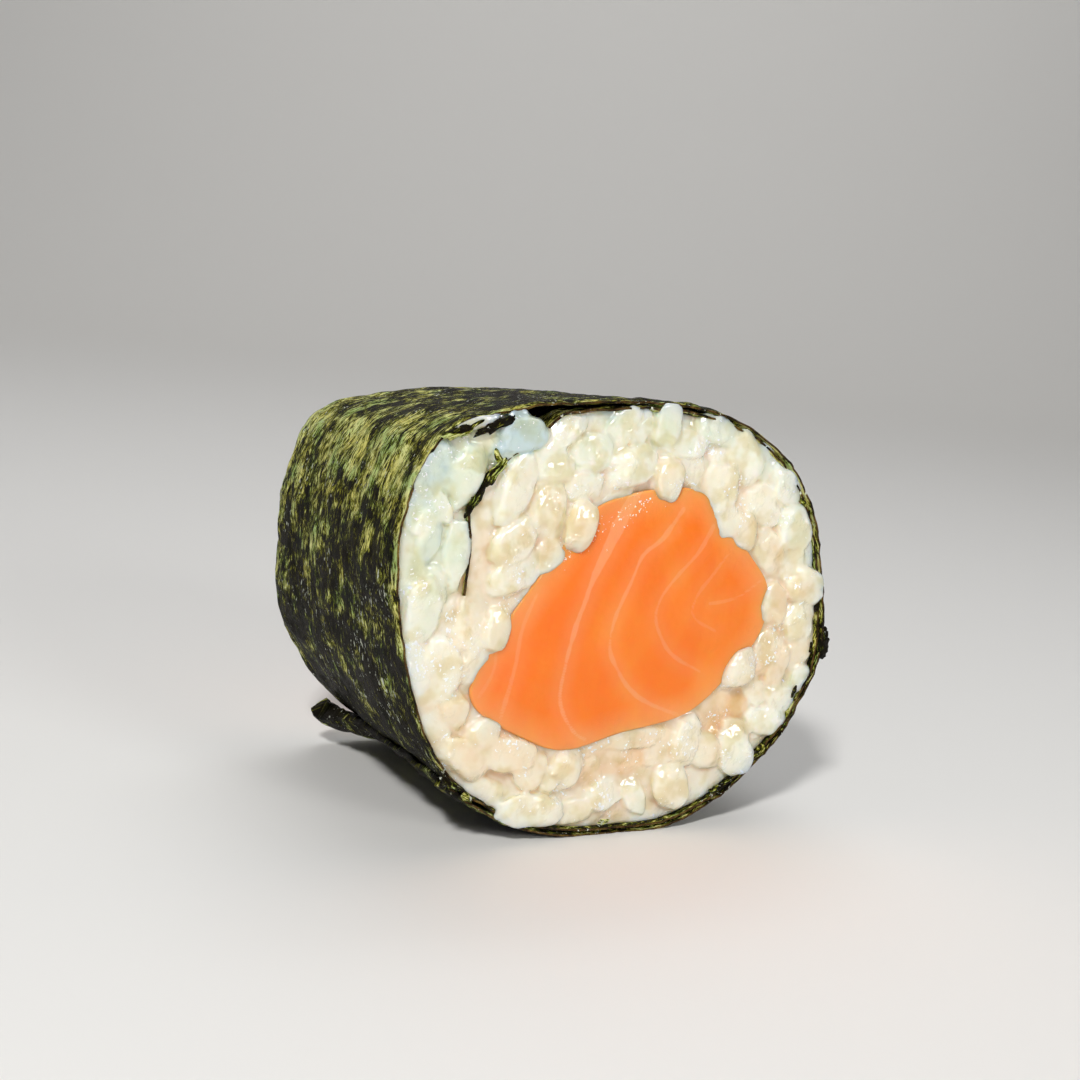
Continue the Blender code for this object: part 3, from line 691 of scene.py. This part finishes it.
# Grains at the near cut: x, z, angle, length, width, how deep its front lies, and its hue, from
# the salmon's orange at 0 over cream and white to the blue of clear starch at 1
NEAR_GRAINS = (
    # between the wrap and its tongue
    (-17.2, 28.6, 68, 5.2, 2.4, -0.15, 0.85), (-14.6, 28.3, 68, 5.6, 2.7, -0.3, 0.75),
    (-15.9, 26.6, 72, 3.4, 1.8, 0.9, 0.8), (-17.7, 25.6, 84, 4.4, 2.5, -0.15, 0.8),
    (-15.9, 22.3, 88, 5.6, 2, 0.35, 0.8), (-14.8, 22.2, 92, 5.4, 1.7, -0.15, 0.75),
    (-18.2, 21.6, 88, 6, 2.3, 0.35, 0.75), (-17.1, 23, 80, 4, 1.9, 0, 0.85),
    (-17.3, 17.6, 86, 6.2, 2.8, -0.15, 0.65), (-15.3, 17.4, 82, 6, 2.7, 0.3, 0.6),
    (-15.4, 30.4, 80, 1.3, 0.9, 0.2, 0.7), (-16.2, 19.6, 100, 4.4, 2, 0.3, 0.7),
    # over and beside the tongue
    (-10.4, 31.1, 4, 4, 2.4, -0.45, 1.05), (-11.1, 32.5, 60, 1.7, 1.2, -0.1, 1),
    (-12.6, 30.4, 130, 2.2, 1.2, 0.1, 0.95), (-13.6, 31.1, 8, 1.5, 0.8, 0.1, 0.7),
    (-11.7, 29.7, 58, 2.8, 1.6, 0.2, 0.8), (-14.4, 31.9, 19, 4.6, 1, -0.35, 0.35),
    # left of the salmon
    (-10.6, 27, 66, 5.8, 2.6, -0.4, 0.5), (-12.8, 25.4, 66, 5.6, 1.7, 0.4, 0.45),
    (-9.8, 29.4, 60, 3.2, 1.9, 0.4, 0.4), (-7.7, 28.9, 96, 4.6, 2.7, -0.1, 0.55),
    (-8.6, 26.6, 60, 2.8, 2, 0.4, 0.25), (-7.7, 25.2, 92, 5.2, 2.6, -0.15, 0.35),
    (-10.3, 23, 62, 4.6, 2.9, -0.3, 0.4), (-9.9, 20.7, 24, 4.8, 2.5, -0.3, 0.5),
    (-7.4, 22.1, 22, 3, 2.2, 0.1, 0.3), (-9.6, 19.1, 30, 5, 2.1, 0.3, 0.3),
    (-11.1, 16.8, 82, 3.7, 2.1, -0.25, 0.35), (-12.8, 21, 84, 5, 1.9, 0.6, 0.25),
    (-13.2, 17.2, 88, 5.6, 2.3, 0.1, 0.4), (-12.6, 14, 80, 3.9, 2.4, 0, 0.4),
    (-15, 13.6, 98, 5.2, 2.9, -0.15, 0.5), (-17.1, 13.6, 106, 5, 2, 0.2, 0.6),
    (-16.2, 11.4, 112, 3.2, 2, 0.5, 0.3), (-13.7, 10.5, 100, 3.4, 2.4, 0.2, 0.3),
    (-15.2, 8.9, 104, 5, 2.1, 0.2, 0.45), (-4.9, 24.4, 78, 3.9, 2.3, -0.5, 0.3),
    # below it
    (-11.4, 8.3, 58, 3.4, 2.4, -0.1, 0.4), (-12.4, 6.7, -30, 5, 2.4, -0.1, 0.35),
    (-8.7, 6.9, -14, 5, 2.5, -0.3, 0.35), (-6.9, 5.8, 72, 3.6, 2.2, -0.1, 0.35),
    (-12.3, 5, -35, 4.6, 2.2, 1.1, 0.1), (-3.8, 5.6, 62, 3.6, 2.7, -0.2, 0.45),
    (-10.2, 3.9, -26, 4.6, 2.3, 0.3, 0.5), (-6.6, 2.4, -3, 6.4, 2.3, -0.35, 0.55),
    (-3, 2, 4, 5, 2, 0.2, 0.45), (-0.3, 3.1, 20, 5.4, 2, 0, 0.6),
    (2.6, 3, -58, 3.8, 1.7, 0.2, 0.65), (1.8, 1.7, 4, 4.6, 1.7, 0.8, 0.3),
    (1.8, 5.4, 0, 5.4, 2.3, 0.6, 0.15), (-1.6, 5.3, 80, 3.5, 1.8, 0.5, 0.3),
    (2, 7.5, 5, 8.6, 1.5, 0.3, 0.3), (5.1, 6.2, 14, 3.6, 1.9, 0.1, 0.4),
    (7.1, 7.1, 76, 4.4, 2.5, -0.1, 0.5), (6.1, 3.7, 106, 4.4, 2.6, -0.4, 0.5),
    (9.3, 6.3, -20, 4.2, 2.7, 0, 0.45), (9.3, 3.8, 14, 3.8, 2, 1.1, 0.2),
    (4.4, 2.9, 98, 3.2, 1.8, 1.1, 0.3), (12.1, 6.1, 114, 4.8, 2.9, -0.4, 0.75),
    (15, 8.4, -8, 4.5, 2.4, 0, 0.7), (15.9, 10.4, -14, 4, 2.2, 0.1, 0.6),
    # right of it
    (11, 9.9, 6, 5.6, 2.7, 0.7, 0.15), (11.4, 12.8, 48, 3.7, 2.7, -0.5, 0.45),
    (13.7, 13.9, 86, 4.6, 1.9, 0.1, 0.3), (15.3, 13.2, 82, 4.2, 1.9, 0.1, 0.35),
    (17.3, 14.2, 80, 4, 2.4, 0.2, 0.4), (17.8, 12, 76, 2.4, 1.7, 0, 0.8),
    (17, 16.9, 70, 3.9, 2.8, -0.15, 0.55), (14.3, 18.2, 94, 3.9, 2, -0.1, 0.3),
    (13.2, 18.2, 76, 3.2, 1.4, 0.1, 0.45), (15.4, 16.2, 84, 4, 2, 0.6, 0.3),
    (17.2, 19.8, -20, 4.2, 2.9, -0.35, 0.45), (15.2, 24.6, 112, 4, 2.7, -0.35, 0.7),
    (17, 23.6, 102, 5.6, 2.2, 0.1, 0.65), (14, 28, -38, 4.4, 2.3, -0.3, 0.65),
    (12, 26.2, -24, 4.6, 2.9, -0.1, 0.5), (10.3, 24.5, 114, 4.8, 2.7, 0, 0.3),
    (13.2, 22.7, -50, 5.6, 2.9, 0.2, 0.35), (15.6, 21.6, 100, 3.8, 2.2, 0.3, 0.55),
    # above it
    (8.2, 25.3, 122, 3.6, 2.3, -0.1, 0.4), (7.8, 27.8, 100, 4.6, 2.9, -0.2, 0.45),
    (9.5, 30.1, 112, 5, 2.8, -0.1, 0.55), (11.4, 29.9, -48, 4.4, 2.3, 0.2, 0.75),
    (6.7, 32.2, -24, 4.8, 2.3, 0, 0.7), (4.2, 32.5, -4, 3.2, 1.7, 0.4, 0.65),
    (1.8, 32.2, 80, 4, 2.3, -0.3, 0.65), (-2, 32, 60, 4.2, 2.1, 0, 0.6),
    (-0.5, 31.9, 82, 3.8, 1.9, 0.1, 0.6), (-3.5, 32.7, 30, 2.8, 1.6, 0.4, 0.75),
    (3.5, 30.8, -5, 4.8, 2.1, 0, 0.6), (4.6, 28.8, -12, 4.4, 2.4, 0.1, 0.4),
    (2.4, 28.1, 98, 3.5, 2.5, -0.4, 0.3), (-0.9, 29, 20, 4.6, 2.6, -0.2, 0.55),
    (-2, 27.2, 26, 4.6, 2.1, 0.1, 0.3), (-4.7, 29.8, 2, 4.6, 2.5, 0, 0.6),
    (-4.7, 27.5, -10, 4, 2.3, 0.2, 0.45), (5.9, 27, -45, 3.2, 1.8, 0.4, 0.25),
    (-7.4, 31.3, 34, 5, 2.3, -0.15, 0.5), (-5.2, 32.2, 8, 4.6, 1.8, 0.2, 0.6),
)  # fmt: skip


def rice_room(stand_off):
    """The outline that the rice fills in the near section, that far inside the sheet."""
    line, turns, inward = sheet_line()[:3]
    keep = np.arange(0, len(line), 3)
    line, turns, inward = line[keep], turns[keep], inward[keep]
    last = int(np.searchsorted(turns, WEDGE_END))
    tongue = int((turns < 0).sum())
    tip = line.copy()
    tip[0] -= (line[1] - line[0]) / norm(line[1] - line[0]) * stand_off
    inside = (tip + inward * stand_off)[:last]
    behind = (tip - inward * stand_off)[: tongue - 4][::-1]
    return np.vstack([inside, behind])


def footprint(points, x, z, angle, reach, radius):
    """Which points the grain covers as seen straight at the cut face."""
    along = (points[:, 0] - x) * cos(angle) + (points[:, 1] - z) * sin(angle)
    across = (points[:, 1] - z) * cos(angle) - (points[:, 0] - x) * sin(angle)
    past = np.maximum(np.abs(along) - reach, 0.0)
    return past**2 + across**2 < radius**2


def grain_row(x, z, angle, rise, length, width, front):
    """Centre (x, z, depth), direction (x, z, depth), length and width, from its front's depth."""
    depth = front + width / 2 * GRAIN_FLATNESS + (length - width) / 2 * abs(sin(rise))
    way = (cos(angle) * cos(rise), sin(angle) * cos(rise), sin(rise))
    return (x, z, depth, *way, length, width)


def hue_beside(hole, spot, first):
    """The hue of a grain there: painted warm beside the salmon, for the light the salmon throws
    into the rice, and paler with each millimetre from it.
    """
    return min(HUE_FAR, first + HUE_A_MM * nearest_on(hole, np.array([spot]))[0][0])


def laid_grains(room, hole, face):
    """The rice at one cut face: the grains that have their places, then others put where each
    covers most that is bare and least that is not rice."""
    rng = np.random.default_rng(SEEDS[face])
    low, high = room.min(axis=0) - GRAIN_WIDTH[1], room.max(axis=0) + GRAIN_WIDTH[1]
    axes = [np.arange(low[k], high[k], CELL) for k in (0, 1)]
    cells = np.stack(np.meshgrid(*axes), axis=-1).reshape(-1, 2)
    is_rice = nearest_on(room, cells)[1] & ~nearest_on(hole, cells)[1]
    cover = np.zeros(len(cells), int)
    rows = []
    hues = []
    for x, z, angle, length, width, front, hue in NEAR_GRAINS if face == "near" else ():
        turn, rise = radians(angle), radians(rng.uniform(-LISTED_TILT, LISTED_TILT))
        rows.append(grain_row(x, z, turn, rise, length, width, front * FRONT_SHARE))
        cover[footprint(cells, x, z, turn, (length - width) / 2, width / 2 - 0.2)] += 1
        hues.append(hue)
    while len(rows) < GRAINS_A_FACE:
        bare = cells[is_rice & (cover == 0)]
        if len(bare) < 4:
            break
        best, best_score = None, -inf
        spots = bare[rng.integers(0, len(bare), TRIES)] + rng.normal(0.0, 1.0, (TRIES, 2))
        spots = spots[nearest_on(room, spots)[1] & ~nearest_on(hole, spots)[1]]
        count = len(spots)
        about = np.arctan2(spots[:, 1] - CENTRE[1], spots[:, 0] - CENTRE[0]) + pi / 2
        angles = about + np.radians(rng.normal(0.0, TURN_SPREAD, count))
        rises = np.radians(rng.uniform(-1.0, 1.0, count) * rng.choice(GRAIN_TILTS, count))
        lengths, widths = rng.uniform(*GRAIN_LENGTH, count), rng.uniform(*GRAIN_WIDTH, count)
        for x, z, angle, rise, length, width in zip(*spots.T, angles, rises, lengths, widths):
            reach = (length - width) / 2 * cos(rise)
            under = footprint(cells, x, z, angle, reach, width / 2)
            score = (under & is_rice & (cover == 0)).sum() - WALL_WEIGHT * (under & ~is_rice).sum()
            score -= OVERLAP_WEIGHT * (under & is_rice & (cover > 0)).sum()
            if score > best_score:
                best, best_score = (x, z, angle, rise, length, width, under), score
        *grain, under = best
        hidden = (cover[under & is_rice] > 0).mean()
        shallow, deep = FILL_DEPTHS[face]
        front = shallow + (deep - shallow) * min(1.0, 1.6 * hidden) + rng.uniform(-0.2, 0.2)
        rows.append(grain_row(*grain, front))
        cover[under] += 1
        hues.append(hue_beside(hole, grain[:2], 0.2) + rng.uniform(-0.12, 0.12))
    spots = cells[is_rice & (nearest_on(room, cells)[0] > 1.0)]
    for x, z in spots[rng.integers(0, len(spots), BROKEN)]:
        length, width = rng.uniform(*BROKEN_LENGTH), rng.uniform(*BROKEN_WIDTH)
        front = rng.uniform(*BROKEN_DEPTH)
        rows.append(grain_row(x, z, rng.uniform(0.0, pi), 0.0, length, width, front))
        hues.append(hue_beside(hole, (x, z), 0.25) + rng.uniform(-0.1, 0.1))
    return rows, hues


def grain_kinds():
    """A few cooked grains, long way along X and one unit long and thick: each one plump in its own
    way, bent a little and broader at one end."""
    rng = np.random.default_rng(SEEDS["kinds"])
    kinds = []
    unit, faces = points_of(bpy.ops.mesh.primitive_uv_sphere_add, segments=32, ring_count=20)
    unit = unit[:, [2, 0, 1]]
    for k in range(GRAIN_KINDS):
        shape = unit.copy()
        along = shape[:, 0]
        girth = np.hypot(shape[:, 1], shape[:, 2]) + 1e-9
        full = np.maximum(1 - np.abs(along) ** rng.uniform(1.8, 2.6), 0.0) ** 0.5
        turn = np.arctan2(shape[:, 2], shape[:, 1])
        boxy = np.abs(np.cos(turn)) ** GRAIN_BOX + np.abs(np.sin(turn)) ** GRAIN_BOX
        boxy **= -1 / GRAIN_BOX
        shape[:, 1:] *= (full / girth * boxy)[:, None]
        shape[:, 1:] *= (1 + rng.uniform(-0.2, 0.2) * along)[:, None]
        for way, bend in (1, 0.13), (2, 0.1):
            shape[:, way] += rng.uniform(-bend, bend) * (along**2 - 0.4)
        for height, closeness in GRAIN_KNOBS:
            spots = shape * (0.7, 1.0, 1.0) * closeness + (k * 7.1, 0.0, 0.0)
            shape += unit * np.array([height * noise.noise(Vector(p)) for p in spots])[:, None]
        kinds.append(shape / 2)
    return kinds, faces


def grain_frame(row):
    *way, length, width = row[3:]
    axis = Vector(way).normalized()
    side = axis.cross(Vector((0.0, 0.0, 1.0))).normalized()
    thick = axis.cross(side) * width * GRAIN_FLATNESS
    return np.array([axis * length, side * width * GRAIN_SPREAD, thick])


def grain_places(row, kind, knife, toward, room, rim):
    """One grain's points, in millimetres of the section and depth. A knife's slanting plane takes
    off its front. Behind the cut the sheet stops them; in front of it they may spread over its
    edge."""
    x, z, depth, *way, length = row[:7]
    points = kind @ grain_frame(row)
    cut, *slope = knife
    plane = points[:, 2].min() + cut + points[:, :2] @ slope
    points[:, 2] = np.maximum(points[:, 2], plane)
    points += np.array((x, z, depth))
    hearts = np.array((x, z)) + np.outer(kind[:, 0] * length, np.array(way)[:2])
    middle = np.broadcast_to((x, z), hearts.shape)
    hearts = middle + (held(middle, hearts, room) - middle) * HEARTS_OFF
    inner, outer = held(hearts, points[:, :2], room), held(hearts, points[:, :2], rim)
    free, tight = HELD_DEPTHS
    share = np.clip((points[:, 2:] - free) / (tight - free), 0.0, 1.0)
    points[:, :2] = outer + (inner - outer) * share
    points[:, 2] -= (1.0 - PROUD_LEFT) * np.minimum(points[:, 2] + PROUD, 0.0)
    return [placed(px, pz, toward * (HALF - d)) for px, pz, d in points]


def slab_mesh(outlines, near, far):
    """A closed ring between two depths, from the outer outline to the inner one."""
    outer, inner = (evenly(line, SECTION_POINTS, True) for line in outlines)
    start = np.argmin(norm(inner - outer[0], axis=1))
    inner = np.roll(inner, -start, axis=0)
    places, faces = [], []
    count = len(outer)
    for line, y in ((outer, near), (outer, far), (inner, far), (inner, near)):
        places += [placed(x, z, y) for x, z in line]
    for k in range(4):
        for i in range(count):
            a, b = k * count, (k + 1) % 4 * count
            n = (i + 1) % count
            faces.append((a + i, a + n, b + n, b + i))
    return places, faces


def back_in_section(places):
    """Where world places lie in the near section's drawing."""
    y = places[:, 1] / MM - MID_Y
    scale = 1.0 - TAPER * np.clip(far_share(y), 0.0, 1.0)
    return places[:, [0, 2]] / MM / scale[:, None]


def make_rice_end(name, face, toward, material):
    room = rice_room(RICE_OFF)
    rim = evenly(spline(OUTLINE, True), SECTION_POINTS, True)
    rim = rim + right_hand(rim, True) * RIM_IN
    hole = fish_outline(RICE_OFF)[::3]
    rows, hues = laid_grains(rice_room(SHEET / 2 + 0.2), hole, face)
    kinds, grain_faces = grain_kinds()
    places, faces = [], []
    rng = np.random.default_rng(SEEDS[face])
    for k, row in enumerate(rows):
        knife = rng.uniform(*KNIFE_DEPTH), *rng.uniform(-KNIFE_TILT, KNIFE_TILT, 2)
        grain = grain_places(row, kinds[k % GRAIN_KINDS], knife, toward, room, rim)
        join(places, faces, grain, grain_faces)
    depths = (toward * (HALF - d) for d in (CORE_RECESS, CORE_RECESS + SLAB))
    join(places, faces, *slab_mesh((room, fish_outline(-CORE_UNDER_FISH)), *depths))
    heap = mesh_from(name, places, faces)
    close_up(heap)
    apply(heap, "REMESH", mode="VOXEL", voxel_size=VOXELS[face] * MM, use_smooth_shade=True)
    apply(heap, "SMOOTH", factor=0.5, iterations=4)
    count = sum(len(p.vertices) - 2 for p in heap.data.polygons)
    if count > FACES_AT_MOST:
        apply(heap, "DECIMATE", ratio=FACES_AT_MOST / count)
    lump(heap)
    tell_grains(heap, rows, hues, toward)
    finish(heap, material, "rice")


def lump(heap):
    """Moves the surface in and out a little, unevenly."""
    found = get_places(heap)
    facing = np.empty(found.size)
    heap.data.vertex_normals.foreach_get("vector", facing)
    for height, per_mm in LUMPS:
        pushed = np.array([noise.noise(Vector(p)) for p in found / MM * per_mm])
        found += facing.reshape(-1, 3) * (pushed * height * MM)[:, None]
    set_places(heap, found)


def tell_grains(heap, rows, hues, toward):
    """Gives each point its grain's own hue, and how far it lies behind the cut."""
    found = get_places(heap)
    depth = HALF - toward * (found[:, 1] / MM - MID_Y)
    spots = np.column_stack([back_in_section(found), depth])
    least = np.full(len(spots), 1e9)
    which = np.zeros(len(spots), int)
    for k, row in enumerate(rows):
        turned = (spots - np.array(row[:3])) @ np.linalg.inv(grain_frame(row)) * 2
        across = (np.abs(turned[:, 1:]) ** GRAIN_BOX).sum(axis=1) ** (2 / GRAIN_BOX)
        apart = np.abs(turned[:, 0]) ** 3 + across
        nearer = apart < least
        least[nearer] = apart[nearer]
        which[nearer] = k
    hue = np.array(hues)[which]
    ends = np.array([tuple(edge.vertices) for edge in heap.data.edges])
    count = np.bincount(ends.ravel(), minlength=len(hue))
    for _ in range(HUE_BLURS):
        beside = sum(np.bincount(a, hue[b], len(hue)) for a, b in (ends.T, ends.T[::-1]))
        hue = (hue + beside) / (1 + count)
    give(heap, "grain_hue", hue)
    give(heap, "deep", depth)


def make_rice_middle(material):
    ends = [toward * (HALF - CORE_RECESS - SLAB * 0.6) for toward in (-1, 1)]
    places, faces = slab_mesh((rice_room(0.2), fish_outline(-0.2)), *ends)
    thing = mesh_from("rice_middle", places, faces)
    for name, value in (("grain_hue", 0.5), ("deep", 2.0)):
        give(thing, name, np.full(len(places), value))
    close_up(thing)
    finish(thing, material, "rice")


def rice_finish():
    """Boiled short-grain rice, moist with vinegar: milky and clear at once, so light goes well
    into it. Beside the salmon it is painted in the salmon's colour, and beside the nori in a green
    one, for the light that each throws into it."""
    known = "grain_hue", "deep"
    material, node, place, hue, deep = new_material("boiled_short_grain_rice", *known)
    cloudy = node("TexNoise", {"Vector": place, "Scale": 0.45, "Detail": 3.0})
    cloudy = node("MapRange", {0: cloudy, 1: 0.2, 2: 0.8, 3: -0.14, 4: 0.14})
    hue = node("Math", {0: hue, 1: cloudy})
    # Painted shade: it is warmer and darker low down and to the right, away from the key light
    for way, *span in ("Z", 8, 30, -0.04, 0.06), ("X", 2, 14, 0, -0.08):
        shift = node("SeparateXYZ", {0: place}, reads=way)
        shift = node("MapRange", {0: shift, **dict(enumerate(span, 1))})
        hue = node("Math", {0: hue, 1: shift})
    stops = (0.0, "#edc28a"), (0.2, "#efd8b6"), (0.4, "#f1e7d0"), (0.6, "#f4f0de"), (0.8, "#dfe5ce")
    base = node("ValToRGB", {0: hue}, stops=(*stops, (1.0, "#c3d5d4")))
    # Painted shade: the crevices deeper behind the cut are painted tan, in patches
    painted_crevice_shade = node("MapRange", {0: deep, 1: 0.4, 2: 1.0}, **SOFT)
    crevice_shade_patch = node("TexNoise", {"Vector": place, "Scale": 0.3})
    crevice_shade_patch = node("MapRange", {0: crevice_shade_patch, 1: 0.4, 2: 0.65, 3: 0.1, 4: 0.5}, **SOFT)
    painted_crevice_shade = node("Math", {0: painted_crevice_shade, 1: crevice_shade_patch}, operation="MULTIPLY")
    base = node("Mix", {0: painted_crevice_shade, 6: base, 7: colour("#dca468")}, **COLOURS)
    clear = node("TexNoise", {"Vector": place, "Scale": 0.55})
    clear = node("MapRange", {0: clear, 1: 0.46, 2: 0.66}, **SOFT)
    clear = {0: clear, 6: base, 7: colour("#f0ebd6")}
    base = node("Mix", clear, **COLOURS, blend_type="MULTIPLY")
    # Wet shine: painted highlight specks a tenth of a millimetre wide, in patches of 1 to 3 mm,
    # which also bump the coat
    where = node("TexNoise", {"Vector": place, "Scale": 0.5, "Detail": 3.0})
    where = node("MapRange", {0: where, 1: 0.5, 2: 0.66}, **SOFT)
    specks = node("TexNoise", {"Vector": place, "Scale": 3.4, "Roughness": 0.6})
    painted_glint = node("Math", {0: where, 1: 0.14, 2: specks}, **TIMES_ADD)
    painted_glint = node("MapRange", {0: painted_glint, 1: 0.71, 2: 0.75}, **SOFT)
    base = node("Mix", {0: painted_glint, 6: base, 7: colour("#ffffff")}, **COLOURS)
    soft = node("TexNoise", {"Vector": place, "Scale": 1.0})
    bump = node("Bump", {"Height": soft, "Distance": 0.12 * MM})
    specks = node("Math", {0: specks, 1: where}, operation="MULTIPLY")
    film = node("Bump", {"Height": specks, "Distance": 0.5 * MM, "Normal": bump})
    skin = {"Base Color": base, "Normal": bump, "Roughness": 0.3, "IOR": 1.4}
    skin |= {"Subsurface Weight": 1.0, "Subsurface Radius": (1.0, 0.8, 0.58)}
    skin |= {"Subsurface Scale": 1.8 * MM, "Coat Weight": 1.0, "Coat Roughness": 0.08}
    skin |= {"Coat IOR": 1.8, "Coat Normal": film}
    node("OutputMaterial", {"Surface": node("BsdfPrincipled", skin)})
    return material


# ------ room, light and camera

CAMERA_TURN, CAMERA_DIP, CAMERA_ROLL = -30.12, 9.34, 6.0
CAMERA_PLACE = Vector((-66.20, -99.55, 42.33))  # from the near cut's foot
CAMERA_LENS = 53.33
FLOOR_SIZE = 3.2
COVE_START = 0.55  # how far behind the piece the floor begins to rise
COVE_RADIUS = 0.5


def make_stage():
    """A pale sheet that lies flat under the piece and curves up behind it."""
    floor = grid("floor", 2, 30)
    half = FLOOR_SIZE / 2
    cove = [(sin(t), 1.0 - cos(t)) for t in np.linspace(0.0, pi / 2, 28)]
    line = [(COVE_START + COVE_RADIUS * out, COVE_RADIUS * up) for out, up in cove]
    line = [(-half, 0.0), *line, (COVE_START + COVE_RADIUS, COVE_RADIUS + half)]
    places = [(side * half, out, up) for out, up in line for side in (-1, 1)]
    turned = Matrix.Rotation(radians(CAMERA_TURN), 4, "Z")
    set_places(floor, [turned @ Vector(p) for p in places])
    floor.data.shade_smooth()
    material, node = new_material("pale_paper")
    skin = {"Base Color": colour("#e6e4e0"), "Roughness": 0.7}
    node("OutputMaterial", {"Surface": node("BsdfPrincipled", skin)})
    floor.data.materials.append(material)


def softbox(name, place, size, power, tint="#ffffff", target=(0.0, 0.0, 0.017)):
    light = bpy.data.lights.new(name, "AREA")
    light.size = size
    light.energy = power
    light.color = colour(tint)[:3]
    lamp = bpy.data.objects.new(name, light)
    bpy.context.scene.collection.objects.link(lamp)
    lamp.location = place
    lamp.rotation_euler = (Vector(target) - lamp.location).to_track_quat("-Z", "Y").to_euler()


def make_light():
    softbox("key", (-0.22, -0.24, 0.30), 0.05, 1.3)
    softbox("front", (0.10, -0.42, 0.18), 0.13, 0.55)
    softbox("top", (0.06, 0.10, 0.40), 0.30, 0.4, "#f6f9ff")
    softbox("back", (0.35, 0.55, 1.1), 0.80, 5.0, target=(0.45, 1.2, 0.5))
    world = bpy.data.worlds.new("studio")
    bpy.context.scene.world = world
    world.use_nodes = True
    back = world.node_tree.nodes["Background"]
    back.inputs[0].default_value = colour("#d8dade")
    back.inputs[1].default_value = 0.14
    bpy.context.scene.view_settings.view_transform = "Standard"


def make_camera():
    """A three-quarter view of the near cut from its left, a little from above, and rolled a
    little, as held by hand."""
    lens = bpy.data.cameras.new("camera")
    lens.lens = CAMERA_LENS
    lens.clip_start = 0.01
    camera = bpy.data.objects.new("camera", lens)
    bpy.context.scene.collection.objects.link(camera)
    turned = Matrix.Rotation(radians(CAMERA_TURN), 4, "Z")
    turned @= Matrix.Rotation(radians(90.0 - CAMERA_DIP), 4, "X")
    turned @= Matrix.Rotation(radians(CAMERA_ROLL), 4, "Z")
    place = (CAMERA_PLACE + Vector((0.0, MID_Y - HALF, 0.0))) * MM
    camera.matrix_world = Matrix.Translation(place) @ turned
    bpy.context.scene.camera = camera


nori = nori_finish()
make_nori(nori)
make_scraps(nori)
make_salmon(salmon_finish())
rice = rice_finish()
make_rice_end("rice_near", "near", -1, rice)
make_rice_end("rice_far", "far", 1, rice)
make_rice_middle(rice)
make_stage()
make_light()
make_camera()
